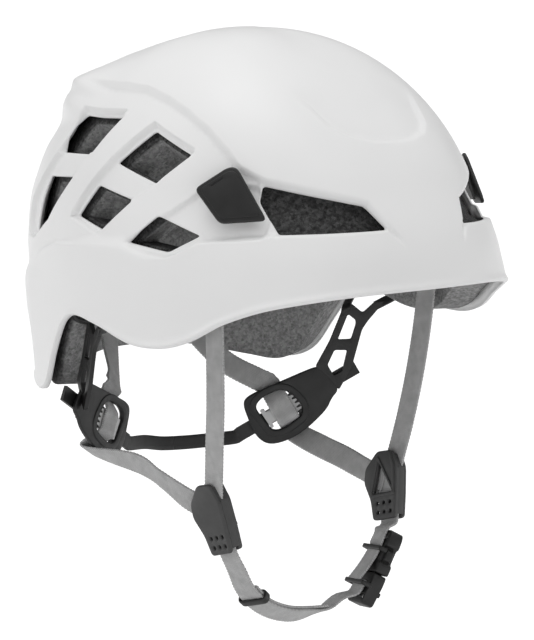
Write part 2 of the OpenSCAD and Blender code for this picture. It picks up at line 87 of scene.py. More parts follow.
CHANNELS = [
    ([(92.2, 114.3), (113.3, 113.8), (114.2, 101.2), (117.4, 90.5), (123, 76), (127, 64), (129, 52), (128, 43.5),
      (121, 44), (114, 53.5), (104.5, 79), (99.4, 91.8)], 3.1),
    ([(66.3, 96.6), (81.6, 109.4), (86.8, 100.6), (91.1, 91), (94.8, 82), (98, 73.5), (100.6, 65), (102.6, 58),
      (92, 51), (83.3, 69.7), (77, 78.2), (67.5, 92.8)], 3.1),
    ([(64.5, 76), (73, 64.5), (84.5, 49), (80, 45), (71, 42.5), (62.5, 50.5), (47, 53), (44, 66), (48, 80),
      (57, 80)], 1.8),
]
# How far the rear stands out of the plain dome: (height, distance)
REAR_PROFILE = [(-45, 1.4), (-20, 1.8), (-4, 2.8), (4, 3.7), (18, 4.0), (23.5, 3.3), (28.5, 1.5), (38, 1.3),
                (50, 0.5), (64, -0.2), (76, -1.4), (90, -2.0), (101, -2.9), (106, -1.8), (110.5, 1.4),
                (114, 2.9), (117.5, 3.5), (121, 6.0), (125.5, 4.2), (131, 1.6), (135, 0.2), (139, -0.7),
                (143, -1.5), (149, -1.4), (152, -0.2), (153, 0.3)]
FRONT_CREASE = [(0, 96.5), (8, 97), (17.5, 100), (24, 105), (30, 114.3), (36.5, 120.5)]


def curve(points, x):
    """Smooth curve through points that rise in x."""
    xs, ys = np.array(points, float).T
    slope = np.zeros(len(xs))
    slope[1:-1] = (ys[2:] - ys[:-2]) / (xs[2:] - xs[:-2])
    i = np.clip(np.searchsorted(xs, x, side="right") - 1, 0, len(xs) - 2)
    h = xs[i + 1] - xs[i]
    t = np.clip((x - xs[i]) / h, 0, 1)
    near = (2 * t**3 - 3 * t**2 + 1) * ys[i] + (t**3 - 2 * t**2 + t) * h * slope[i]
    return near + (3 * t**2 - 2 * t**3) * ys[i + 1] + (t**3 - t**2) * h * slope[i + 1]


def smooth(x, low, high):
    """0 below low, 1 above high, soft between."""
    t = np.clip((x - low) / (high - low), 0, 1)
    return t * t * (3 - 2 * t)


def spow(v, e):
    return np.sign(v) * np.abs(v) ** e


def sin_cos(degrees):
    return math.sin(math.radians(degrees)), math.cos(math.radians(degrees))


def fold(a):
    b = np.abs(a) % 360
    return np.where(b > 180, 360 - b, b)


def profile_power(c):
    """How square the dome's profile is, from the cosine of the angle from the front."""
    front = np.clip(c, 0, None) ** 2
    return 1.7 * front + 2.26 * (1 - front)


def folded(az):
    """Chart points as if all were on the wearer's left."""
    return np.stack([fold(az[:, 0]), az[:, 1]], -1)


def dome(a, z, inset=0.0):
    """A point of the dome: degrees from the front towards the wearer's left, height, inward offset."""
    a, z = np.broadcast_arrays(np.asarray(a, float), np.asarray(z, float))
    s, c = np.sin(np.radians(a)), np.cos(np.radians(a))
    x = (HALF_W - inset) * spow(s, POWER)
    y = -(np.where(c > 0, FRONT_L, REAR_L) - inset) * spow(c, POWER)
    p = profile_power(c)
    rise = np.clip((z - WAIST) / (CROWN - inset - WAIST), 0, 1)
    rho = np.clip(1 - rise**p, 0, None) ** (1 / p)
    drop = np.clip(FLARE_FROM - z, 0, None)
    lean = curve(FLARE, fold(a)) * np.where(drop < 12, drop**2 / 24, drop - 6)
    k = rho + lean / np.maximum(np.hypot(x, y), 1)
    return np.stack([x * k, y * k, z], -1)


def to_chart(points):
    """Degrees and height of points on or near the dome."""
    x, y, z = np.moveaxis(np.asarray(points, float), -1, 0)
    length = np.where(y < 0, FRONT_L, REAR_L)
    a = np.degrees(np.arctan2(spow(x / HALF_W, 1 / POWER), spow(-y / length, 1 / POWER)))
    return np.stack([a, z], -1)


# The dome's flat chart: t runs from 0 at the crown to 1 at the lower edge, and the waist is at t = WAIST_T
WAIST_T = 0.75
CHART_R = 230.0


def edge_z(a, lift):
    return curve(EDGE, fold(a)) + lift


def above_edge(a, t, lift):
    """Height above the lower edge, for a place between it and the waist."""
    return (1 - t) / (1 - WAIST_T) * (WAIST - edge_z(a, lift))


def t_of(a, z, inset, lift):
    above = np.arccos(np.clip((z - WAIST) / (CROWN - inset - WAIST), 0, 1)) / (math.pi / 2) * WAIST_T
    below = WAIST_T + (1 - WAIST_T) * (WAIST - z) / (WAIST - edge_z(a, lift))
    return np.where(z >= WAIST, above, below)


def z_of(a, t, inset, lift):
    above = WAIST + (CROWN - inset - WAIST) * np.cos(np.clip(t / WAIST_T, 0, 1) * math.pi / 2)
    below = WAIST + (edge_z(a, lift) - WAIST) * (t - WAIST_T) / (1 - WAIST_T)
    return np.where(t <= WAIST_T, above, below)


def layer_point(a, t, inset, lift):
    return dome(a, z_of(a, t, inset, lift), inset)


def fine_line(line, step=1.5, closed=False):
    """A line of (degrees, height) points with a point about every step along the dome."""
    pts = list(line) + ([line[0]] if closed else [])
    out = []
    for p, q in zip(pts, pts[1:]):
        n = max(2, int(np.linalg.norm(dome(*p) - dome(*q)) / step) + 1)
        out += [np.array(p, float) + (np.array(q, float) - p) * k / n for k in range(n)]
    return np.array(out + ([] if closed else [np.array(pts[-1], float)]))


def line_distance(points, line, closed=False):
    """Distance in space from each point to a line drawn on the dome."""
    az = fine_line(line, 2.5, closed)
    track = dome(az[:, 0], az[:, 1])
    if closed:
        track = np.vstack([track, track[:1]])
    best = np.full(len(points), 1e9)
    for p, q in zip(track, track[1:]):
        d = q - p
        t = np.clip((points - p) @ d / max(d @ d, 1e-9), 0, 1)
        best = np.minimum(best, np.linalg.norm(points - p - t[:, None] * d, axis=1))
    return best


def inside(az, outline):
    """Which chart points lie inside an outline."""
    found = np.zeros(len(az), bool)
    for (a0, z0), (a1, z1) in zip(outline, list(outline[1:]) + [outline[0]]):
        if z0 == z1:
            continue
        crosses = (az[:, 1] > z0) != (az[:, 1] > z1)
        found ^= crosses & (az[:, 0] < (a1 - a0) * (az[:, 1] - z0) / (z1 - z0) + a0)
    return found


def signed_distance(points, az, outline):
    """Distance to an outline, positive inside it."""
    return line_distance(points, outline, True) * np.where(inside(az, outline), 1, -1)


def shell_relief(az):
    """How far the shell stands out of the plain dome: cap, middle zone, channels, lower band and front crease."""
    az = folded(az)
    points = dome(az[:, 0], az[:, 1])
    a, z = az.T
    within = inside(az, CAP_LINE + BAND_LINE)
    to_cap, to_band = line_distance(points, CAP_LINE), line_distance(points, BAND_LINE)
    soft_band = 2.4 + 5 * smooth(a, 66, 76) * (1 - smooth(a, 92, 104))
    lift = -3.0 * smooth(a, 8, 15) * np.where(within, smooth(to_cap, 0, 3.8) * smooth(to_band, 0, soft_band), 0)
    rear = smooth(a, 102, 127) * np.where(z > 112, smooth(a, 70, 127), 1)
    lift = lift * (1 - rear) + curve(REAR_PROFILE, z) * rear
    for outline, deep in CHANNELS:
        lift -= deep * smooth(signed_distance(points, az, outline), 0, 2.0)
    inner_side = z > curve(FRONT_CREASE, np.clip(a, 0, 36.5))
    to_crease = line_distance(points, FRONT_CREASE)
    crease = np.where(inner_side, smooth(to_crease, 0, 4.5), 0)
    return lift - 2.0 * crease * (1 - smooth(a, 24, 38)) * (1 - smooth(z, 112, 132))


def beside(line, d):
    """A line of the chart moved sideways by d along the dome, with a point about every 1.4 mm."""
    a, z = fine_line(line, 1.4).T
    points = dome(a, z)
    forward = np.gradient(points, axis=0)
    normal = np.cross(dome(a + 0.5, z) - dome(a - 0.5, z), dome(a, z + 0.5) - dome(a, z - 0.5))
    across = np.cross(forward, normal)
    return to_chart(points + across / np.linalg.norm(across, axis=1)[:, None] * d)


def feature_points():
    """Chart points beside the lines where the shell's relief turns sharply."""
    lines = [(CAP_LINE, (0.5, 1.2, 2, 2.8, 3.6)), (BAND_LINE, (0.4, 1, 1.7, 2.4)), (FRONT_CREASE, (0.6, 1.6, 2.8, 4))]
    lines += [(outline + outline[:1], (0.5, 1, 1.5, 2.1)) for outline, _ in CHANNELS]
    found = [beside(line, side * d) for line, steps in lines for side in (1, -1) for d in (0,) * (side > 0) + steps]
    found = np.vstack(found)
    found = np.unique(np.round(found[(found[:, 0] > 0.4) & (found[:, 0] < 179.6)], 2), axis=0)
    return np.vstack([found, found * (-1, 1)])


def scaled(corners, share):
    """An outline scaled about its middle."""
    centre = np.mean(corners, 0)
    return [tuple(centre + (np.array(c) - centre) * share) for c in corners]


def rounded_outline(corners, radius, step):
    """A closed outline on the dome with round corners: chart points about every step."""
    ring = [dome(*c) for c in corners]
    n = len(ring)
    out = []
    for i in range(n):
        here, before, after = ring[i], ring[i - 1], ring[(i + 1) % n]
        back, on = before - here, after - here
        start = here + back * min(radius / np.linalg.norm(back), 0.45)
        end = here + on * min(radius / np.linalg.norm(on), 0.45)
        out += [(1 - t) ** 2 * start + 2 * t * (1 - t) * here + t * t * end for t in np.linspace(0, 1, 6)]
        away = after + (here - after) * min(radius / np.linalg.norm(here - after), 0.45)
        m = max(1, int(np.linalg.norm(away - end) / step))
        out += [end + (away - end) * k / m for k in range(1, m)]
    return to_chart(np.array(out))


def moved_out(ring, d):
    """A closed chart ring moved outwards by d along the dome."""
    p = dome(ring[:, 0], ring[:, 1])
    along = np.roll(p, -1, 0) - np.roll(p, 1, 0)
    along /= np.linalg.norm(along, axis=1)[:, None]
    centre = p.mean(0)
    normal = np.cross(p - centre, along).sum(0)
    out = np.cross(along, normal / np.linalg.norm(normal))
    out *= np.sign(((p - centre) * out).sum())
    return to_chart(p + out * d)


def chart_xy(a, t):
    return np.stack([t * CHART_R * np.sin(np.radians(a)), -t * CHART_R * np.cos(np.radians(a))], -1)


def lattice(spacing, lift):
    """Chart points spread evenly over the dome, as (degrees, t)."""
    out = []
    upper, lower = int(172 / spacing), int(60 / spacing)
    rings = [WAIST_T * (i + 1) / upper for i in range(upper)]
    rings += [WAIST_T + (1 - WAIST_T) * (i + 1) / lower for i in range(lower - 1)]
    for i, t in enumerate(rings):
        around = max(8, int(2 * math.pi * 118 * math.sin(min(t / WAIST_T, 1) * math.pi / 2) / spacing))
        a = (np.arange(around) + 0.5 * (i % 2)) * 360 / around - 180
        out.append(np.stack([a, np.full(around, t)], -1))
    out = np.vstack(out)
    gap = above_edge(out[:, 0], out[:, 1], lift)
    return out[(out[:, 1] < WAIST_T) | (gap > spacing * 0.7)]


def vertex_normals(p, tris):
    face = np.cross(p[tris[:, 1]] - p[tris[:, 0]], p[tris[:, 2]] - p[tris[:, 0]])
    n = np.zeros_like(p)
    for k in range(3):
        np.add.at(n, tris[:, k], face)
    return n / np.maximum(np.linalg.norm(n, axis=1), 1e-12)[:, None]


def new_object(name, verts, faces, smooth_shading=True):
    """A mesh object from points in millimetres."""
    mesh = bpy.data.meshes.new(name)
    mesh.from_pydata([tuple(v) for v in np.asarray(verts) * MM], [], [tuple(int(i) for i in f) for f in faces])
    mesh.update()
    if smooth_shading:
        mesh.polygons.foreach_set("use_smooth", [True] * len(mesh.polygons))
    obj = bpy.data.objects.new(name, mesh)
    bpy.context.scene.collection.objects.link(obj)
    return obj


def dome_skin(name, inset, thick, outlines, lift, spacing, relief, lip, rim, edge_thick=None, features=None, bead=0.0):
    """A closed layer of the dome with vents. outlines are corner lists on the wearer's left, lip and rim are the radii
    of the edges of the vents and of the lower rim, and edge_thick is the thickness round the vents. features are more
    chart points, and a layer that has them follows its relief on both faces. The lower rim stands out by bead."""
    offsets = [0, 0.3, 0.75, 1.3, 2.1, 3.2]
    edge_thick = edge_thick or thick
    chart, depth, body, loops = [], [], [], []
    count = 0

    def add(points, sunk, here=thick):
        nonlocal count
        chart.append(points)
        depth.append(np.broadcast_to(np.asarray(sunk, float), (len(points),)))
        body.append(np.full(len(points), float(here)))
        count += len(points)

    def sink(d, r):
        return r - math.sqrt(max(r * r - max(r - d, 0) ** 2, 0)) if r > 0 else 0.0

    keep_off = []
    for outline in outlines:
        for side in (1, -1):
            ring = rounded_outline(outline, 1.8, 1.1)
            ring[:, 0] *= side
            for d in offsets:
                az = moved_out(ring, d) if d else ring
                if not d:
                    loops.append(np.arange(count, count + len(az)))
                here = edge_thick + (thick - edge_thick) * float(smooth(d, 0, offsets[-1]))
                add(np.stack([az[:, 0], t_of(az[:, 0], az[:, 1], 0, lift)], -1), sink(d, lip), here)
            keep_off.append(ring)
    around = int(740 / spacing)
    a = np.arange(around) * 360 / around - 180
    for d in [0, 0.35, 0.9, 1.6, 2.6, 4]:
        t = 1 - d / (WAIST - edge_z(a, lift)) * (1 - WAIST_T)
        if not d:
            loops.append(np.arange(count, count + around))
        add(np.stack([a, t], -1), sink(d, rim))
    rim_top, cell = 4 + spacing * 0.4, 1.3
    grid = lattice(spacing, lift)
    grid = grid[above_edge(grid[:, 0], grid[:, 1], lift) > rim_top]

    def clear(points, margin):
        """Which chart points keep off the vents."""
        z = z_of(points[:, 0], points[:, 1], 0, lift)
        spot = dome(points[:, 0], z)
        keep = np.ones(len(points), bool)
        for ring in keep_off:
            track = dome(ring[:, 0], ring[:, 1])
            low, high = track.min(0) - 6, track.max(0) + 6
            near = np.where(((spot > low) & (spot < high)).all(1))[0]
            if not len(near):
                continue
            d = np.linalg.norm(spot[near][:, None] - track[None], axis=2).min(1)
            hole = inside(np.stack([points[near, 0], z[near]], -1), ring)
            keep[near[(d < offsets[-1] + margin) | hole]] = False
        return keep

    keep = clear(grid, spacing * 0.55)
    if features is not None:
        t = t_of(features[:, 0], features[:, 1], 0, lift)
        extra = np.stack([features[:, 0], t], -1)
        extra = extra[(above_edge(extra[:, 0], t, lift) > rim_top) & clear(extra, 0.4)]
        taken, home = ([tuple(c) for c in np.floor(layer_point(q[:, 0], q[:, 1], 0, lift) / cell).astype(int)]
                       for q in (extra, grid))
        taken = set(taken)
        keep &= np.array([c not in taken for c in home])
        add(extra, 0)
    add(grid[keep], 0)
    add(np.array([[0.0, 0.0]]), 0)
    chart, depth, body = np.vstack(chart), np.concatenate(depth), np.concatenate(body)
    flat = chart_xy(chart[:, 0], chart[:, 1])
    ties = [(int(p), int(q)) for loop in loops for p, q in zip(loop, np.roll(loop, -1))]
    made = delaunay_2d_cdt([Vector(q) for q in flat], ties, [], 0, 1e-7)
    if len(made[0]) != len(flat):
        raise ValueError(f"{name}: the outlines cross each other")
    order = [o[0] for o in made[3]]
    tris = np.array([[order[i] for i in f] for f in made[2]])
    middle = flat[tris].mean(1)
    good = np.ones(len(tris), bool)
    for loop in loops[:-1]:
        good &= ~inside(middle, flat[loop])
    good &= inside(middle, flat[loops[-1]])
    tris = tris[good]
    outer = layer_point(chart[:, 0], chart[:, 1], inset, lift)
    normal = vertex_normals(outer, tris)
    if (normal * outer).sum() < 0:
        tris = tris[:, ::-1]
        normal = -normal
    raised = relief(np.stack([chart[:, 0], z_of(chart[:, 0], chart[:, 1], inset, lift)], -1))
    raised = raised + bead * (1 - smooth(above_edge(chart[:, 0], chart[:, 1], lift), 1.9, 3.2))
    top = outer + normal * (raised - depth)[:, None]
    if features is not None:
        under = outer + normal * (raised - body)[:, None]
    else:
        under = layer_point(chart[:, 0], chart[:, 1], inset + thick, lift)
    verts, faces = [top, under], [tuple(f) for f in tris]
    n = len(top)
    faces += [(f[2] + n, f[1] + n, f[0] + n) for f in tris]
    total = 2 * n
    directed = {(f[k], f[(k + 1) % 3]) for f in tris for k in range(3)}
    for loop in loops:
        if (loop[1], loop[0]) in directed:
            loop = loop[::-1]
        shares = np.linspace(0, 1, max(3, int(thick / 2.5) + 2))[1:-1]
        rings = [loop]
        for share in shares:
            verts.append(top[loop] + (under[loop] - top[loop]) * share)
            rings.append(np.arange(total, total + len(loop)))
            total += len(loop)
        rings.append(loop + n)
        for above, below in zip(rings, rings[1:]):
            for i in range(len(loop)):
                j = (i + 1) % len(loop)
                faces.append((above[j], above[i], below[i], below[j]))
    return new_object(name, np.vstack(verts), faces)


# ---------- Materials ----------


def new_material(name):
    mat = bpy.data.materials.new(name)
    mat.use_nodes = True
    tree = mat.node_tree
    return mat, tree.nodes, tree.links, tree.nodes["Principled BSDF"]


def level(v):
    """A plain value from 0 to 1 as a colour."""
    return (v, v, v, 1)


def grey(v):
    """A linear colour from an sRGB grey of 0 to 255."""
    s = v / 255
    return level(s / 12.92 if s < 0.04 else ((s + 0.055) / 1.055) ** 2.4)


def noise(nodes, links, coords, scale, detail=2.0, rough=0.5):
    node = nodes.new("ShaderNodeTexNoise")
    node.inputs["Scale"].default_value = scale
    node.inputs["Detail"].default_value = detail
    node.inputs["Roughness"].default_value = rough
    links.new(coords, node.inputs["Vector"])
    return node.outputs["Fac"]


def ramp(nodes, links, value, stops):
    node = nodes.new("ShaderNodeValToRGB")
    while len(node.color_ramp.elements) < len(stops):
        node.color_ramp.elements.new(0.5)
    for element, (at, colour) in zip(node.color_ramp.elements, stops):
        element.position, element.color = at, colour
    links.new(value, node.inputs["Fac"])
    return node.outputs["Color"]


def mix(nodes, links, share, one, two):
    node = nodes.new("ShaderNodeMix")
    node.data_type = "RGBA"
    for socket, value in ((node.inputs[0], share), (node.inputs[6], one), (node.inputs[7], two)):
        links.new(value, socket)
    return node.outputs[2]


def sums(nodes, links, one, two, kind="ADD"):
    node = nodes.new("ShaderNodeMath")
    node.operation = kind
    for socket, value in zip(node.inputs, (one, two)):
        if isinstance(value, bpy.types.NodeSocket):
            links.new(value, socket)
        else:
            socket.default_value = value
    return node.outputs[0]


def bump(nodes, links, bsdf, height, strength, distance):
    node = nodes.new("ShaderNodeBump")
    node.inputs["Strength"].default_value = strength
    node.inputs["Distance"].default_value = distance
    links.new(height, node.inputs["Height"])
    links.new(node.outputs["Normal"], bsdf.inputs["Normal"])


def object_coords(nodes):
    return nodes.new("ShaderNodeTexCoord").outputs["Object"]


def shell_white():
    """Moulded satin ABS: nearly even white, with a faint orange-peel in its gloss."""
    mat, nodes, links, bsdf = new_material("shell_white")
    coords = object_coords(nodes)
    tone = noise(nodes, links, coords, 14, 3)
    links.new(ramp(nodes, links, tone, [(0.3, grey(236)), (0.7, grey(240))]), bsdf.inputs["Base Color"])
    rough = noise(nodes, links, coords, 60, 4)
    links.new(ramp(nodes, links, rough, [(0.3, level(0.34)), (0.75, level(0.42))]), bsdf.inputs["Roughness"])
    bsdf.inputs["Specular IOR Level"].default_value = 0.42
    bump(nodes, links, bsdf, noise(nodes, links, coords, 900, 2), 0.05, 0.0002)
    return mat


def bead_foam(name, dark, light, inner):
    """Expanded foam of pressed beads, each of its own grey, with dark seams. Its inner face is paler by inner, as
    painted light, and its face towards the shell keeps the darker tones, as painted shade.
    """
    bead_scale = 850
    mat, nodes, links, bsdf = new_material(name)
    coords = object_coords(nodes)
    cells = nodes.new("ShaderNodeTexVoronoi")
    cells.inputs["Scale"].default_value = bead_scale
    links.new(coords, cells.inputs["Vector"])
    bead = nodes.new("ShaderNodeSeparateColor")
    links.new(cells.outputs["Color"], bead.inputs["Color"])
    blot = noise(nodes, links, coords, 380, 5, 0.7)
    value = sums(nodes, links, sums(nodes, links, bead.outputs[0], 0.3, "MULTIPLY"), blot)
    stops = ((0.42, dark), (0.65, (dark + light) / 2), (0.92, light))
    # Two copies of the same foam tones: the one lifted by inner is painted light for the face inside the helmet, and
    # the plain one is painted shade for the face towards the shell.
    lit_and_shaded_tones = [ramp(nodes, links, value, [(at, grey(tone + add)) for at, tone in stops]) for add in (inner, 0)]
    facing = nodes.new("ShaderNodeVectorMath")
    facing.operation = "DOT_PRODUCT"
    place = nodes.new("ShaderNodeVectorMath")
    place.operation = "NORMALIZE"
    links.new(coords, place.inputs[0])
    links.new(place.outputs["Vector"], facing.inputs[0])
    links.new(nodes.new("ShaderNodeTexCoord").outputs["Normal"], facing.inputs[1])
    # Faces that look outwards, towards the shell and behind the vents, take the darker painted-shade copy. Faces inside
    # the helmet take the paler painted-light copy.
    outward = ramp(nodes, links, sums(nodes, links, sums(nodes, links, facing.outputs["Value"], 0.5, "MULTIPLY"), 0.5),
                   [(0.45, level(0)), (0.7, level(1))])
    links.new(mix(nodes, links, outward, *lit_and_shaded_tones), bsdf.inputs["Base Color"])
    bsdf.inputs["Roughness"].default_value = 0.85
    bsdf.inputs["Specular IOR Level"].default_value = 0.25
    seams = nodes.new("ShaderNodeTexVoronoi")
    seams.feature = "DISTANCE_TO_EDGE"
    seams.inputs["Scale"].default_value = bead_scale
    links.new(coords, seams.inputs["Vector"])
    height = sums(nodes, links, seams.outputs["Distance"], blot)
    bump(nodes, links, bsdf, height, 0.7, 0.0006)
    return mat


def plastic(name, tone, rough=0.42, grain=1400, strength=0.12):
    """Moulded plastic with a fine grain and slightly uneven gloss."""
    mat, nodes, links, bsdf = new_material(name)
    coords = object_coords(nodes)
    blot = noise(nodes, links, coords, 45, 4)
    links.new(ramp(nodes, links, blot, [(0.3, grey(tone * 0.93)), (0.7, grey(tone * 1.07))]), bsdf.inputs["Base Color"])
    gloss = noise(nodes, links, coords, 160, 3)
    stops = [(0.3, level(rough - 0.05)), (0.7, level(rough + 0.07))]
    links.new(ramp(nodes, links, gloss, stops), bsdf.inputs["Roughness"])
    bump(nodes, links, bsdf, noise(nodes, links, coords, grain, 2), strength, 0.0002)
    return mat


def webbing():
    """Flat woven tape: fine diagonal ribs along UV, which holds millimetres along and across the strap."""
    mat, nodes, links, bsdf = new_material("webbing")
    uv = nodes.new("ShaderNodeUVMap").outputs["UV"]
    split = nodes.new("ShaderNodeSeparateXYZ")
    links.new(uv, split.inputs[0])
    along, across = split.outputs[0], split.outputs[1]
    folded = sums(nodes, links, sums(nodes, links, across, 3.25, "PINGPONG"), 1.6, "MULTIPLY")
    slant = sums(nodes, links, along, folded)
    rib = sums(nodes, links, sums(nodes, links, slant, 2 * math.pi / 1.25, "MULTIPLY"), 0, "SINE")
    cross = sums(nodes, links, sums(nodes, links, across, 2 * math.pi / 0.8, "MULTIPLY"), 0, "SINE")
    weave = sums(nodes, links, rib, sums(nodes, links, cross, 0.55, "MULTIPLY"))
    relief = sums(nodes, links, sums(nodes, links, weave, 0.25, "MULTIPLY"), 0.5)
    wear = noise(nodes, links, object_coords(nodes), 180, 5, 0.65)
    tone = sums(nodes, links, sums(nodes, links, relief, 0.5, "MULTIPLY"), sums(nodes, links, wear, 0.5, "MULTIPLY"))
    stops = [(0.25, grey(144)), (0.5, grey(180)), (0.75, grey(206))]
    links.new(ramp(nodes, links, tone, stops), bsdf.inputs["Base Color"])
    bsdf.inputs["Roughness"].default_value = 0.8
    bsdf.inputs["Sheen Weight"].default_value = 0.25
    bsdf.inputs["Sheen Roughness"].default_value = 0.4
    bump(nodes, links, bsdf, relief, 0.6, 0.0003)
    return mat


def pad_fabric():
    """Dark brushed knit over soft foam."""
    mat, nodes, links, bsdf = new_material("pad_fabric")
    coords = object_coords(nodes)
    knit = nodes.new("ShaderNodeTexVoronoi")
    knit.inputs["Scale"].default_value = 900
    links.new(coords, knit.inputs["Vector"])
    fuzz = noise(nodes, links, coords, 300, 4)
    links.new(ramp(nodes, links, fuzz, [(0.3, grey(34)), (0.7, grey(58))]), bsdf.inputs["Base Color"])
    bsdf.inputs["Roughness"].default_value = 0.95
    bsdf.inputs["Sheen Weight"].default_value = 0.4
    bump(nodes, links, bsdf, knit.outputs["Distance"], 0.8, 0.0005)
    return mat


MATERIALS = {
    "shell_white": shell_white(),
    # The foam's inner face is painted 76 greys paler than its face towards the shell: painted light inside the helmet,
    # painted shade behind the vents.
    "liner_foam": bead_foam("liner_foam", 38, 96, 76),
    "pad_fabric": pad_fabric(),
    "webbing": webbing(),
    "black_plastic": plastic("black_plastic", 27),
    "divider_plastic": plastic("divider_plastic", 66, 0.48),
    "grey_plastic": plastic("grey_plastic", 214, 0.38),
}


def dress(obj, slot):
    """Gives a piece the material that bears the name of the record's slot."""
    obj.data.materials.clear()
    obj.data.materials.append(MATERIALS[slot])
    return obj


# ---------- Shell and foam ----------


def make_shell():
    shell = dome_skin("shell", 0, SHELL_T, VENTS, 0, 1.8, shell_relief, 0.6, 1.3, 1.1, feature_points(), 0.8)
    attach(dress(shell, "shell_white"), "helmet")
    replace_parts(shell, "outer_shell")


def liner_relief(az):
    """The foam lies lower behind the shell's vents."""
    az = folded(az)
    return -4.2 * smooth(signed_distance(dome(az[:, 0], az[:, 1]), az, CAP_LINE + BAND_LINE), -2, 3)


def make_liner():
    vents = [scaled(v, 0.86) for v in VENTS[:-1]]
    liner = dome_skin("foam_liner", LINER_GAP, LINER_IN - LINER_GAP, vents, LINER_LIFT, 4, liner_relief, 1.6, 2.0)
    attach(dress(liner, "liner_foam"), "helmet")
    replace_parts(liner, "epp_liner", "crown_liner")


# ---------- Webbing ----------


def unit(v):
    v = np.asarray(v, float)
    return v / np.linalg.norm(v)


def along(route, s):
    """A point of the smooth line through a route, with its width direction."""
    n = len(route)
    i = min(int(s), n - 2)
    t = s - i
    knots = [route[min(max(k, 0), n - 1)] for k in (i - 1, i, i + 1, i + 2)]
    a, b, c, d = (np.array([np.array(v, float) for v in knot]) for knot in knots)
    near, far = 2 * t**3 - 3 * t**2 + 1, 3 * t**2 - 2 * t**3
    return b * near + (c - a) / 2 * (t**3 - 2 * t**2 + t) + c * far + (d - b) / 2 * (t**3 - t**2)


def strap(name, route, width=WEB_W, thick=WEB_T, shift=0.0, picot=0.45, step=0.4, span=None, slot="webbing"):
    """A strip along a route, or along span of it, with small picots on its edges and millimetres in its UV map."""
    first, last = span or (0, len(route) - 1)
    n = int((last - first) * 60)
    line = np.array([along(route, first + (last - first) * k / n) for k in range(n + 1)])
    length = np.concatenate([[0], np.cumsum(np.linalg.norm(np.diff(line[:, 0], axis=0), axis=1))])
    rings = max(8, int(length[-1] / step))
    at = np.linspace(0, length[-1], rings + 1)
    centre = np.stack([np.interp(at, length, line[:, 0, k]) for k in range(3)], -1)
    width_dir = np.stack([np.interp(at, length, line[:, 1, k]) for k in range(3)], -1)
    forward = np.gradient(centre, axis=0)
    forward /= np.linalg.norm(forward, axis=1)[:, None]
    side = width_dir - forward * (width_dir * forward).sum(1)[:, None]
    side /= np.linalg.norm(side, axis=1)[:, None]
    up = np.cross(forward, side)
    half = width / 2
    edge = picot * np.abs(np.sin(math.pi * at / 2.0)) ** 0.7
    section = [(-1, 0), (-0.97, -0.8), (-0.86, -1), (-0.43, -0.97), (0, -1), (0.43, -0.97), (0.86, -1), (0.97, -0.8),
               (1, 0), (0.97, 0.8), (0.86, 1), (0.43, 0.97), (0, 1), (-0.43, 0.97), (-0.86, 1), (-0.97, 0.8)]
    verts, uv = [], []
    for x, y in section:
        reach = x * (half - picot + edge * (abs(x) > 0.95))
        verts.append(centre + side * reach[:, None] + up * (y * thick / 2 + shift))
        uv.append(np.stack([at, np.full(len(at), x * half)], -1))
    m = len(section)
    verts = np.stack(verts, 1).reshape(-1, 3)
    uv = np.stack(uv, 1).reshape(-1, 2)
    faces = []
    for i in range(rings):
        for k in range(m):
            j = (k + 1) % m
            faces.append((i * m + k, i * m + j, (i + 1) * m + j, (i + 1) * m + k))
    faces += [tuple(range(m - 1, -1, -1)), tuple(rings * m + k for k in range(m))]
    obj = new_object(name, verts, faces)
    layer = obj.data.uv_layers.new(name="UVMap")
    corner = np.zeros(len(obj.data.loops), int)
    obj.data.loops.foreach_get("vertex_index", corner)
    layer.data.foreach_set("uv", uv[corner].ravel())
    return dress(obj, slot)


def flip(route):
    return [((-p[0], p[1], p[2]), (-w[0], w[1], w[2])) for p, w in route]


# Places of the two adjusters, first the wearer's left: centre, turn from straight ahead, rise to the front
PLATES = {1: ((53, 43, -59), 50, 30), -1: ((58, 49, -53), 72, 30)}
DIVIDER_AT, DIVIDER_LEAN, DIVIDER_TUCK = (62, -38, -92), 16, 11
BUCKLE_TOP = np.array([54.8, -47.2, -115.6])
BUCKLE_X = unit([-0.50, 0.05, -0.865])
BUCKLE_Z = np.array([0.808, -0.334, -0.486])
BUCKLE_Z = unit(BUCKLE_Z - BUCKLE_X * (BUCKLE_Z @ BUCKLE_X))
BUCKLE_Y = np.cross(BUCKLE_Z, BUCKLE_X)
BUCKLE_L, BUCKLE_W, BUCKLE_T = 42.0, 21.0, 8.0
INNER_FACE = -BUCKLE_T / 2 - WEB_T / 2 - 0.15


def plate_axes(side):
    """Directions along an adjuster to the front, up it and out of it, away from the head."""
    (st, ct), (sr, cr) = map(sin_cos, PLATES[side][1:])
    return np.array([[cr * st, -cr * ct, sr], [-sr * st, sr * ct, cr], [ct, st, 0]]) * (side, 1, 1)


def by_place(place, side, u, v, out):
    """A point on an adjuster or arm: along it, up it and out of it. place is its centre, turn and rise."""
    (st, ct), (sr, cr) = map(sin_cos, place[1:])
    along_it, up_it, out_of_it = np.array([[cr * st, -cr * ct, sr], [-sr * st, sr * ct, cr], [ct, st, 0]])
    return (np.array(place[0]) + along_it * u + up_it * v + out_of_it * out) * (side, 1, 1)


def by_plate(side, u, v, out):
    return by_place(PLATES[side], side, u, v, out)


def divider_axes(side):
    """Directions to the rear of a divider, up it and out of the head."""
    (sl, cl), (st, ct) = sin_cos(DIVIDER_LEAN), sin_cos(DIVIDER_TUCK)
    rear = np.array([side * -sl * st, cl, -sl * ct])
    up = np.array([side * cl * st, sl, cl * ct])
    return rear, up, np.array([side * ct, 0, -st])


def by_divider(side, x, y, z):
    rear, up, out = divider_axes(side)
    return np.array([side * DIVIDER_AT[0], DIVIDER_AT[1], DIVIDER_AT[2]]) + rear * x + up * y + out * z


def by_buckle(x, y, z):
    return BUCKLE_TOP + BUCKLE_X * x + BUCKLE_Y * y + BUCKLE_Z * z


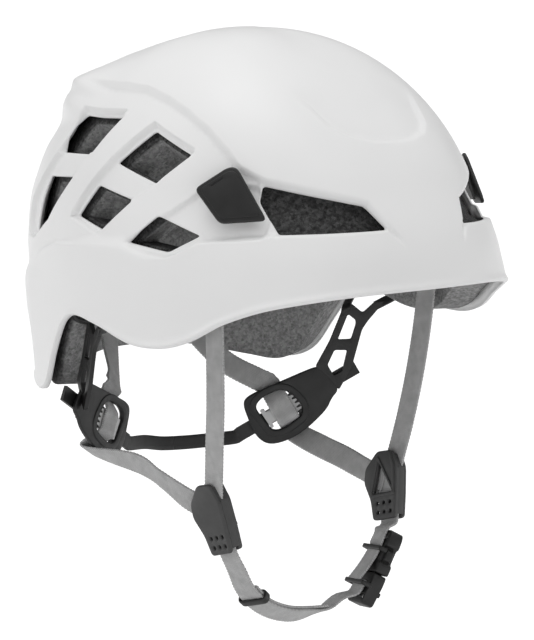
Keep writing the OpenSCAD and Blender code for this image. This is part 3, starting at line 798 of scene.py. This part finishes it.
def front_route(side):
    points = [(77.4, -52, 37), (77, -52, 24), (75.3, -52, 8), (73.5, -50.5, -12), (71.2, -48, -34), (68.4, -44, -58)]
    points += [by_divider(1, -2.3, 5, 0.9), by_divider(1, -1.5, -6, 0.7)]
    route = [(p, (0, 1, 0)) for p in points]
    return route if side > 0 else flip(route)


THREADING = [(0, 18.5, 5), (4, 13, 4.3), (4.5, 9, 3.4), (4.5, 2.6, -1.8), (4.5, -3.5, -1.9), (4.5, -9.6, -1.8),
             (4.5, -15, 4.5), (4.5, -20.5, 5.4)]
REAR_SAG = {1: [(64.6, 14.6, -79), (63.2, -2, -81.8)], -1: [(67.4, 16.9, -71.5), (65.2, 0, -78)]}


def rear_route(side):
    top = [((17, 103.5, 4.2), (1, -0.2, 0)), ((17, 100, 0.6), (1, -0.2, 0)),
           ((29, 86, -16), (0.8, 0.1, 0.5)), ((40, 69, -34), (0.7, -0.2, 0.6))]
    threaded = [(by_plate(side, u, v, out), plate_axes(side)[0]) for u, v, out in THREADING]
    end = [((side * x, y, z), (side * 0.4, 0.15, 0.9)) for x, y, z in REAR_SAG[side]]
    end += [(by_divider(side, *p), divider_axes(side)[1]) for p in ((18.5, 12, -0.4), (5, 4.5, -0.75), (1, 2.5, -0.75))]
    return (top if side > 0 else flip(top)) + threaded + end


CHIN_ROUTE = [
    (by_divider(-1, 0, -8, -0.2), (0, 0.96, -0.28)), (by_divider(-1, 0.5, -20, -0.5), (0, 0.96, -0.28)),
    ((-54, -44.5, -119.5), (0, 0.94, -0.34)), ((-46.5, -43.5, -131.5), (0, 0.9, -0.43)),
    ((-34, -41.5, -142), (0.05, 0.85, -0.52)), ((-18, -39.5, -149.5), (0.1, 0.8, -0.6)),
    ((-2, -38.5, -153), (0.1, 0.8, -0.6)), ((12, -39, -152.5), (0.05, 1, -0.3)), ((24, -39.5, -147.5), (0.3, 1, -0.1)),
    (by_buckle(37.5, 0, INNER_FACE - 1), BUCKLE_Y), (by_buckle(30, 0, INNER_FACE - 0.1), BUCKLE_Y),
]
BUCKLE_ROUTE = [
    (by_divider(1, 0, 8, -0.3), (0, 0.96, -0.28)), (by_divider(1, 0, -8, -0.2), (0, 0.96, -0.28)),
    (by_divider(1, 0, -20, -0.3), (0, 0.96, -0.28)),
    (by_buckle(1, 0, INNER_FACE - 0.3), BUCKLE_Y), (by_buckle(12, 0, INNER_FACE), BUCKLE_Y),
    (by_buckle(22, 0, INNER_FACE - 1.5), BUCKLE_Y), (by_buckle(31, 0, INNER_FACE - 4), BUCKLE_Y),
]


def make_webbing():
    for side, name in SIDES:
        front = strap(f"front_webbing_{name}", front_route(side))
        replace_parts(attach(front, "helmet"), f"front_strap_{name}")
        rear = strap(f"rear_webbing_{name}", rear_route(side))
        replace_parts(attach(rear, "helmet"), f"rear_strap_{name}")
    short = strap("buckle_webbing", BUCKLE_ROUTE)
    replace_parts(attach(short, "helmet"), "buckle_strap")
    chin = strap("chin_webbing", CHIN_ROUTE)
    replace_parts(chin, "chin_strap")
    tail = strap("chin_webbing_tail", CHIN_ROUTE[3:8], shift=1.75)
    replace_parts(tail, "chin_strap_tail")
    for piece in (chin, tail):
        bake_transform(piece)


# ---------- Nape band ----------

BAND_W, BAND_T, TRACK_Y, BAND_OUT, BAND_SPLIT = 8.0, 1.8, -4.0, 2.6, -24.0


def band_route():
    ends = {side: [(by_plate(side, BAND_SPLIT + d, TRACK_Y, BAND_OUT), plate_axes(side)[1]) for d in (-3, 0, 3)]
            for side in (1, -1)}
    middle = [(p, (0, 0.1, 1)) for p in ((-23, 63.5, -71.8), (-8, 66.5, -74.8), (8, 66.5, -76.2), (22, 63.8, -76.4))]
    return ends[-1][::-1] + middle + ends[1]


def make_nape_band():
    route = band_route()
    middle = (len(route) - 1) / 2
    for side, name, span in ((-1, "right", (0, middle)), (1, "left", (middle, len(route) - 1))):
        half = strap(f"nape_band_{name}_half", route, BAND_W - 0.2, BAND_T - 0.2, 0, 0, 1, span, "black_plastic")
        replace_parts(half, "nape_band")
        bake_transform(half)


# ---------- Moulded pieces ----------


def clear_normals(obj, join=0.0):
    """Turns all faces outwards, after joining points that are closer than join metres."""
    mesh = bmesh.new()
    mesh.from_mesh(obj.data)
    if join:
        bmesh.ops.remove_doubles(mesh, verts=mesh.verts, dist=join)
        bmesh.ops.delete(mesh, geom=[q for q in mesh.verts if not q.link_faces], context="VERTS")
    bmesh.ops.recalc_face_normals(mesh, faces=mesh.faces)
    mesh.to_mesh(obj.data)
    mesh.free()
    return obj


def round_ring(corners, radius, step=1.5):
    """A closed flat outline with round corners, running anticlockwise."""
    p = np.array(corners, float)
    n, out = len(p), []
    for i in range(n):
        here, back, on = p[i], p[i - 1] - p[i], p[(i + 1) % n] - p[i]
        start = here + back * min(radius / np.linalg.norm(back), 0.48)
        end = here + on * min(radius / np.linalg.norm(on), 0.48)
        out += [(1 - t) ** 2 * start + 2 * t * (1 - t) * here + t * t * end for t in np.linspace(0, 1, 7)]
    ring = np.array(out)
    area = (ring[:, 0] * np.roll(ring[:, 1], -1) - ring[:, 1] * np.roll(ring[:, 0], -1)).sum()
    return ring if area > 0 else ring[::-1]


def block(x0, y0, x1, y1, radius):
    """A rectangle with round corners."""
    return round_ring([(x0, y0), (x1, y0), (x1, y1), (x0, y1)], radius)


def disc(x, y, r, n=20):
    a = np.arange(n) * 2 * math.pi / n
    return np.stack([x + r * np.cos(a), y + r * np.sin(a)], -1)


def moved_in(ring, d):
    """A flat ring moved to its left by d."""
    along_ring = np.roll(ring, -1, 0) - np.roll(ring, 1, 0)
    along_ring /= np.maximum(np.linalg.norm(along_ring, axis=1), 1e-9)[:, None]
    return ring + np.stack([-along_ring[:, 1], along_ring[:, 0]], -1) * d


def slab(name, outline, holes, low, high, place, edge=0.5, slot="black_plastic", body="helmet"):
    """A flat moulding with round edges: outline and holes are rings, place(x, y, z) gives its points in space."""
    rings = [outline] + [h[::-1] for h in holes]
    sizes = [len(r) for r in rings]
    starts = np.cumsum([0] + sizes)
    ties = [(int(start + i), int(start + (i + 1) % size)) for start, size in zip(starts, sizes) for i in range(size)]
    for edge in edge * np.array([1, 0.7, 0.45, 0.25, 0.1]):
        flat = [moved_in(r, edge) for r in rings]
        made = delaunay_2d_cdt([Vector(q) for q in np.vstack(flat)], ties, [], 0, 1e-6)
        if len(made[0]) == starts[-1]:
            break
    else:
        raise ValueError(f"{name}: its outlines cross each other")
    levels = [(edge * (1 - math.cos(t)), low + edge * (1 - math.sin(t))) for t in np.radians([90, 60, 30, 0])]
    levels += [(inset, low + high - z) for inset, z in levels[::-1]]
    order = [o[0] for o in made[3]]
    spots = np.array([made[0][i] for i in range(len(made[0]))])
    caps = []
    for f in made[2]:
        middle = spots[list(f)].mean(0)[None]
        if inside(middle, flat[0])[0] and not any(inside(middle, hole)[0] for hole in flat[1:]):
            caps.append([order[i] for i in f])
    total = starts[-1]
    verts = []
    for inset, z in levels:
        for ring in rings:
            q = moved_in(ring, inset)
            verts += [place(x, y, z) for x, y in q]
    faces = [tuple(f[::-1]) for f in caps] + [tuple(i + total * (len(levels) - 1) for i in f) for f in caps]
    for level in range(len(levels) - 1):
        for k, size in enumerate(sizes):
            for i in range(size):
                a = level * total + starts[k] + i
                b = level * total + starts[k] + (i + 1) % size
                faces.append((a, b, b + total, a + total))
    obj = clear_normals(new_object(name, verts, faces))
    obj.data.set_sharp_from_angle(angle=math.radians(50))
    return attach(dress(obj, slot), body)


CLIP_AT, CLIP_TURN, CLIP_LIFT, CLIP_SINK = np.array([84.6, -72.6, 73.8]), -36, 16, 1.4
CLIP_OUTLINE = [(-13.5, 0.5), (-13.5, -4), (12.5, -20), (14.5, 3), (-2.6, 16.5)]


def by_clip(side, x, y, z):
    """Down the shell, to the rear and out of it."""
    (st, ct), (sl, cl) = sin_cos(CLIP_TURN), sin_cos(90 - CLIP_LIFT)
    down, rear, out = np.array([cl * ct, cl * st, -sl]), np.array([-st, ct, 0]), np.array([sl * ct, sl * st, cl])
    p = CLIP_AT + down * x + rear * y + out * (z - CLIP_SINK)
    return p * (side, 1, 1)


def make_clips():
    for side, name in SIDES:
        place = partial(by_clip, side)
        ring = round_ring(CLIP_OUTLINE, 3.2)
        slot_ring = round_ring([(-8.1, 2.7), (-4.2, 8.4), (-3.5, 7.9), (-7.4, 2.2)], 0.3)
        tab = slab(f"clip_plate_{name}", ring, [], 2.1, 4.0, place, 0.9, "black_plastic", f"clip_tab_{name}")
        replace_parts(tab, f"clip_tab_{name}")
        inner = round_ring(scaled(CLIP_OUTLINE, 0.84), 2.6)
        slab(f"clip_face_{name}", inner, [slot_ring], 3.6, 4.4, place, 0.4, "black_plastic", f"clip_tab_{name}")


DIVIDER_OUTLINE = [(-8, 17.5), (2.5, 18), (12, 9.5), (13.5, 2), (9.5, -8), (8.5, -19), (-7.5, -19), (-9.5, -6),
                   (-11, 8)]
DIVIDER_WALL = [(-8.6, 15.5), (-11, 8), (-9.5, -6), (-7.8, -17), (-6.9, -17), (-8.3, -6), (-9.7, 8), (-7.4, 15.5)]
HALF_GAP, PLATE_THICK = WEB_T + 0.4, 2.6
WINDOW = [(1.5, 11.5), (7, -4.5), (-6.5, -4.5)]


def make_dividers():
    ring = round_ring(DIVIDER_OUTLINE, 2.2)
    wall = round_ring(DIVIDER_WALL, 0.5)
    holes = [disc(x, y, 0.95) for x in (-4.5, 0, 4.5) for y in (-15, -10)]
    window = round_ring(WINDOW, 1.2)
    for side, name in SIDES:
        place = partial(by_divider, side)
        low, slot = -HALF_GAP - PLATE_THICK, "divider_plastic"
        outer = slab(f"divider_cover_{name}", ring, holes, HALF_GAP, HALF_GAP + PLATE_THICK, place, 1.1, slot)
        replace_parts(outer, f"divider_outer_{name}")
        inner = slab(f"divider_back_{name}", ring, holes + [window], low, -HALF_GAP, place, 0.6, slot)
        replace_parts(inner, f"divider_inner_{name}")
        slab(f"divider_wall_{name}", wall, [], -HALF_GAP - 0.5, HALF_GAP + 0.5, place, 0.3, slot)
        rim, opening = round_ring(scaled(WINDOW, 1.42), 2), round_ring(scaled(WINDOW, 1.12), 1.4)
        slab(f"divider_rim_{name}", rim, [opening], low - 0.6, -HALF_GAP - 1.5, place, 0.25, slot)
        lip = round_ring([(-9.5, 9), (-8, 15.5), (-6.6, 15.5), (-7.8, 8.8), (-7, -5.5), (-8.6, -5.5)], 0.6)
        slab(f"divider_lip_{name}", lip, [], low - 0.6, -HALF_GAP - 1.5, place, 0.25, slot)


PLATE_OUTLINE = [(-8, 13), (30, 8.5), (34, 7), (38, -9.5), (31, -12), (26, -16), (11, -20), (-2, -20.5), (-13, -17),
                 (-16.5, -8), (-13.5, 11)]
PLATE_WINDOW = [(-8.5, 5.4), (-3, 8), (7, 7.5), (12, 4.2), (14.8, -5.5), (13, -11.5), (0.5, -13.2), (-6.5, -11.2)]
ARM_OUTLINE = [(32, 8), (46, 16.5), (62, 29), (67, 29), (70, 21), (79, 23), (84, 20.5), (70, 15.5), (65, 13),
               (50, -2), (37, -10)]
ARM_WINDOWS = [[(62.5, 24.5), (64.5, 19.5), (63.5, 17.5), (57, 11.5), (50.5, 15)],
               [(46, 10.8), (52, 7.2), (44, -1.5), (38.5, -1.5), (38.5, 5.5)]]
ARMS = {1: PLATES[1], -1: ((72.6, 70.4, -50), 22, 24)}
YOKE_T, LEG_GAP = 2.4, 4.8
SLIDER = [(-11.4, 5.5), (-8.9, 5.5), (-8.9, 3), (-4.5, 3), (-4.5, 5.5), (8, 5.5), (11.4, 1), (11.4, -3), (8, -6.5),
          (-4.5, -6.5), (-4.5, -4), (-8.9, -4), (-8.9, -6.5), (-10.8, -6.5)]


def make_adjusters():
    for side, name in SIDES:
        place = partial(by_plate, side)
        window = round_ring(PLATE_WINDOW, 3.5)
        plate = slab(f"adjuster_plate_{name}", round_ring(PLATE_OUTLINE, 6), [window], -1.2, 1.2, place, 0.7)
        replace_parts(plate, f"yoke_{name}")
        slab(f"adjuster_rim_{name}", moved_in(window, -4.0), [moved_in(window, -0.3)], -1.6, 1.5, place, 0.5)
        back = round_ring([(10, 7), (16, 4.5), (18, -6), (15, -13.5), (8, -14.5), (12, -9), (13, -3), (12, 2)], 1)
        slab(f"adjuster_back_{name}", back, [], 1.0, 1.7, place, 0.2)
        for k in range(5):
            u, v = 14.6 - 0.35 * abs(k - 2) ** 1.6, 2.6 - 2.7 * k
            tooth = round_ring([(u, v), (u - 2.6, v - 0.5), (u - 2.6, v - 1.3), (u, v - 1.8)], 0.6)
            slab(f"adjuster_tooth_{name}_{k}", tooth, [], -1.0, 1.4, place, 0.12)
        slider = lambda u, v, out, side=side: by_plate(side, u + 4.3, v - 3.2, out)
        pale = slab(f"slider_{name}", round_ring(SLIDER, 0.8), [], -0.8, 0.8, slider, 0.3, "grey_plastic")
        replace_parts(pale, f"strap_slider_{name}")
        arm = partial(by_place, ARMS[side], side)
        windows = [round_ring(w, 1.2) for w in ARM_WINDOWS]
        slab(f"arm_{name}", round_ring(ARM_OUTLINE, 1.6), windows, -1.15, 1.15, arm, 0.5)
        up = arm(0, 1, 0) - arm(0, 0, 0)
        on = arm(1, 0, 0) - arm(0, 0, 0)
        hidden = lambda a, z, extra=0.0, side=side: dome(side * a, z, LEG_GAP + extra)
        front = [(arm(78, 20.8, 0), up), (arm(83, 20.5, 0), (0, 0.5, 0.8)), (hidden(89, 5, 1.2), (side * 0.1, 1, 0.5)),
                 (hidden(86, 14), (side * 0.1, 1, 0.2)), (hidden(84, 29), (side * 0.1, 1, 0))]
        rear = [(arm(61, 25, 0), on), (arm(64.5, 29, 0), on), (hidden(100.3, 7, 0.7), (side * 0.2, -1, 0)),
                (hidden(102, 19, 0.4), (side * 0.2, -1, 0)), (hidden(102, 31), (side * 0.2, -1, 0))]
        for kind, route in (("front", front), ("rear", rear)):
            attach(strap(f"arm_{kind}_leg_{name}", route, 5, 1.8, 0, 0, 1, None, "black_plastic"), "helmet")


def make_buckle():
    half_t = BUCKLE_T / 2
    side_line = [(0, 8.5), (3, 10), (8.6, 10.5), (9.6, 8.4), (17.4, 8.4), (18.4, 10.5), (24, 10.5)]
    outline = side_line + [(x, -y) for x, y in side_line[::-1]]
    bar_slot = block(2, -7.3, 5, 7.3, 1)
    body = slab("buckle_body", round_ring(outline, 1.4), [bar_slot], -half_t, half_t, by_buckle, 1.5)
    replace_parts(body, "buckle_female")
    face = round_ring([(7, -6), (22.5, -7), (22.5, 7), (7, 6)], 2.5)
    slab("buckle_face", face, [], half_t - 0.8, half_t + 0.7, by_buckle, 0.7)
    for k, (u, body_name, top) in enumerate(((11.5, "helmet", 6.6), (32, "buckle_male", 8.4))):
        for side, name in SIDES:
            leg = lambda x, y, z, u=u, side=side: by_buckle(u + x, side * (8.7 + z), -y)
            slab(f"strap_loop_leg_{k}_{name}", block(-1.2, 2.5, 1.2, top, 0.6), [], 0, 1.8, leg, 0.5, "black_plastic",
                 body_name)
        slab(f"strap_loop_bar_{k}", block(u - 1.3, -10.4, u + 1.3, 10.4, 1), [], -top - 0.6, -top + 1.0, by_buckle, 0.6,
             "black_plastic", body_name)
    male_line = [(24.5, 10.2), (30, 10.4), (36, 9.2), (41, 8.6), (42.2, 7)]
    outline = male_line + [(x, -y) for x, y in male_line[::-1]]
    slots = [block(x, -7.3, x + 2.8, 7.3, 1) for x in (30, 36.5)]
    on_male = {"slot": "black_plastic", "body": "buckle_male"}
    male = slab("buckle_clip", round_ring(outline, 2), slots, -half_t + 0.3, half_t - 0.3, by_buckle, 1.4, **on_male)
    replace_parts(male, "buckle_male")
    slab("buckle_tongue", block(7, -2, 25, 2, 0.8), [], -1.4, 1.4, by_buckle, 0.4, **on_male)
    rib = round_ring([(33.3, -9.3), (36, -9.0), (36, 9.0), (33.3, 9.3)], 1)
    slab("buckle_rib", rib, [], half_t - 0.8, half_t + 1.0, by_buckle, 0.7, **on_male)
    line = [(7, 4.8), (7, 7.2), (9.9, 8.6), (11.5, 10.6), (16.2, 10.9), (17.2, 9.2), (24.6, 7.4), (24.6, 4.8)]
    for side, name in SIDES:
        ring = round_ring([(x, side * y) for x, y in line], 1)
        prong = slab(f"buckle_prong_{name}", ring, [], -2.2, 2.2, by_buckle, 0.7, **on_male)
        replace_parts(prong, "buckle_prongs")


KEEPER_AT = 3.55


def make_keeper():
    """A rounded loop round the chin strap and its loose end."""
    here, ahead = along(CHIN_ROUTE, KEEPER_AT), along(CHIN_ROUTE, KEEPER_AT + 0.02)
    forward = unit(ahead[0] - here[0])
    across = unit(here[1] - forward * (here[1] @ forward))
    out = np.cross(forward, across)
    place = lambda x, y, z: here[0] + out * (0.9 + y) + across * x + forward * z
    ring = block(-8.2, -3.3, 8.2, 3.3, 3.2)
    hole = block(-6.8, -1.9, 6.8, 1.9, 0.8)
    loop = slab("keeper_loop", ring, [hole], -2.2, 2.2, place, 0.65, "black_plastic", "keeper")
    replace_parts(loop, "strap_keeper")


# ---------- Pads ----------


def pad(name, node, base, puff, across, along_pad, loop):
    """A closed soft pad on the liner. base(u, v) gives its back face, with how far in the liner's inner face is,
    puff(u, v) its thickness, and loop says whether v runs round it."""
    u, v = np.meshgrid(np.linspace(0, 1, across), np.linspace(0, 1, along_pad), indexing="ij")
    back, inward = base(u, v)
    front = back + inward * puff(u, v)[..., None]
    n = across * along_pad
    index = lambda i, k: i * along_pad + k % (along_pad - 1 if loop else along_pad)
    faces = []
    for i in range(across - 1):
        for k in range(along_pad - 1):
            quad = (index(i, k), index(i, k + 1), index(i + 1, k + 1), index(i + 1, k))
            faces += [quad, tuple(q + n for q in quad[::-1])]
    obj = new_object(name, np.vstack([back.reshape(-1, 3), front.reshape(-1, 3)]), faces)
    clear_normals(obj, 0.02 * MM)
    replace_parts(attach(dress(obj, "pad_fabric"), "helmet"), node)


def dome_point_at(x, y, inset):
    """The point of an inner layer above (x, y)."""
    length = np.where(y < 0, FRONT_L, REAR_L) - inset
    s, c = spow(x / (HALF_W - inset), 1 / POWER), spow(-y / length, 1 / POWER)
    a = np.degrees(np.arctan2(s, c))
    ring = np.hypot((HALF_W - inset) * spow(np.sin(np.radians(a)), POWER), length * spow(np.cos(np.radians(a)), POWER))
    rho = np.hypot(x, y) / ring
    p = profile_power(np.cos(np.radians(a)))
    z = WAIST + (1 - rho**p) ** (1 / p) * (CROWN - inset - WAIST)
    return np.stack([x, y, z], -1)


def make_pads():
    inset, full = LINER_IN + 0.2, 5.0

    def brow(u, v):
        a, z = (v - 0.5) * 100, 36 + 22 * u
        back = dome(a, z, inset)
        return back, dome(a, z, inset + 1) - back

    def brow_puff(u, v):
        edge = smooth(np.minimum(u, 1 - u), 0, 0.28) ** 0.5 * smooth(np.minimum(v, 1 - v), 0, 0.06) ** 0.5
        seams = 1 - 0.42 * np.exp(-(((v * 6) % 1 - 0.5) / 0.09) ** 2)
        return full * edge * (0.62 + 0.38 * np.sin(math.pi * u)) * seams * 0.98

    pad("brow_pad", "forehead_pad", brow, brow_puff, 15, 121, False)

    def crown(u, v):
        x, y = 31.5 * u * np.cos(2 * math.pi * v), 6 + 39.5 * u * np.sin(2 * math.pi * v)
        back = dome_point_at(x, y, inset)
        return back, back - dome_point_at(x, y, inset - 1)

    def crown_puff(u, v):
        seams = 1 - 0.4 * np.exp(-(((v * 6) % 1 - 0.5) * u * 3.2) ** 2 / 0.05) * smooth(u, 0.12, 0.3)
        return 4.0 * smooth(1 - u, 0, 0.2) ** 0.5 * seams

    pad("crown_cushion", "crown_pad", crown, crown_puff, 21, 73, True)


# ---------- Carried-over parts ----------

EDGED = {"black_plastic": 0.35, "divider_plastic": 0.5, "grey_plastic": 0.35}


def dress_node(node, slot, width):
    """A CAD node that stays: its material, joined vertices and small rounded edges."""
    obj = frame["nodes"][node]
    dress(obj, slot)
    weld = obj.modifiers.new("joined", "WELD")
    weld.merge_threshold = 1e-6
    soft = obj.modifiers.new("soft_edges", "BEVEL")
    soft.width, soft.segments, soft.limit_method, soft.angle_limit = width * MM, 3, "ANGLE", math.radians(32)
    soft.harden_normals = False
    for poly in obj.data.polygons:
        poly.use_smooth = True
    obj.modifiers.new("even_shading", "WEIGHTED_NORMAL").keep_sharp = True


def dress_nodes():
    for part in frame["record"]["subparts"]:
        node, slot = part["node"], part["material_slot"]
        if frame["nodes"][node].hide_render:
            continue
        dress_node(node, slot, EDGED.get(slot, 0.4))


# ---------- Stage ----------


def make_stage():
    """A plain pale floor well below the hanging helmet, and a room that is white at the horizon and brighter above."""
    far_off, drop = 2e6, -700
    corners = [(x * far_off, y * far_off, drop) for x, y in ((-1, -1), (1, -1), (1, 1), (-1, 1))]
    floor = new_object("floor", corners, [(0, 1, 2, 3)], False)
    mat, nodes, links, bsdf = new_material("floor")
    bsdf.inputs["Base Color"].default_value = grey(236)
    bsdf.inputs["Roughness"].default_value = 1
    bsdf.inputs["Specular IOR Level"].default_value = 0
    bsdf.inputs["Emission Color"].default_value = level(1)
    away = nodes.new("ShaderNodeVectorMath")
    away.operation = "LENGTH"
    links.new(object_coords(nodes), away.inputs[0])
    share = sums(nodes, links, away.outputs["Value"], 0.3, "MULTIPLY")
    far = ramp(nodes, links, share, [(0.53, level(0)), (0.62, level(0.55))])
    links.new(far, bsdf.inputs["Emission Strength"])
    floor.data.materials.append(mat)
    world = bpy.data.worlds.new("studio")
    bpy.context.scene.world = world
    world.use_nodes = True
    nodes, links = world.node_tree.nodes, world.node_tree.links
    split = nodes.new("ShaderNodeSeparateXYZ")
    links.new(nodes.new("ShaderNodeTexCoord").outputs["Generated"], split.inputs[0])
    sky = [(0.08, level(1)), (0.12, level(0.12)), (0.38, level(0.34)), (0.85, level(1))]
    height = ramp(nodes, links, split.outputs[2], sky)
    links.new(height, nodes["Background"].inputs["Color"])
    bpy.context.scene.view_settings.view_transform = "Standard"


def area_light(name, at, aim, size, power):
    light = bpy.data.lights.new(name, "AREA")
    light.shape, light.size, light.energy = "DISK", size, power
    obj = bpy.data.objects.new(name, light)
    bpy.context.scene.collection.objects.link(obj)
    obj.location = at
    obj.rotation_euler = (Vector(aim) - Vector(at)).to_track_quat("-Z", "Y").to_euler()


def make_lights():
    area_light("key", (-0.3, 0.0, 1.5), (0, 0, 0.05), 0.9, 4.2)
    area_light("rear_side", (-1.15, 0.6, 0.7), (0, 0, 0.04), 0.8, 1.0)


CAMERA_AZIMUTH, CAMERA_ELEVATION, CAMERA_DISTANCE = -43.0, 7.4, 1.305
CAMERA_TARGET = Vector((0, -0.0092, 0))
CAMERA_LENS = 139.7


def make_camera():
    a, e = math.radians(CAMERA_AZIMUTH), math.radians(CAMERA_ELEVATION)
    back = Vector((math.sin(a) * math.cos(e), -math.cos(a) * math.cos(e), math.sin(e)))
    data = bpy.data.cameras.new("camera")
    data.lens, data.sensor_width = CAMERA_LENS, 36
    camera = bpy.data.objects.new("camera", data)
    bpy.context.scene.collection.objects.link(camera)
    camera.location = CAMERA_TARGET + back * CAMERA_DISTANCE
    camera.rotation_euler = (-back).to_track_quat("-Z", "Y").to_euler()
    bpy.context.scene.camera = camera


make_camera()
make_shell()
make_liner()
make_webbing()
make_nape_band()
make_clips()
make_dividers()
make_adjusters()
make_buckle()
make_keeper()
make_pads()
dress_nodes()
make_stage()
make_lights()
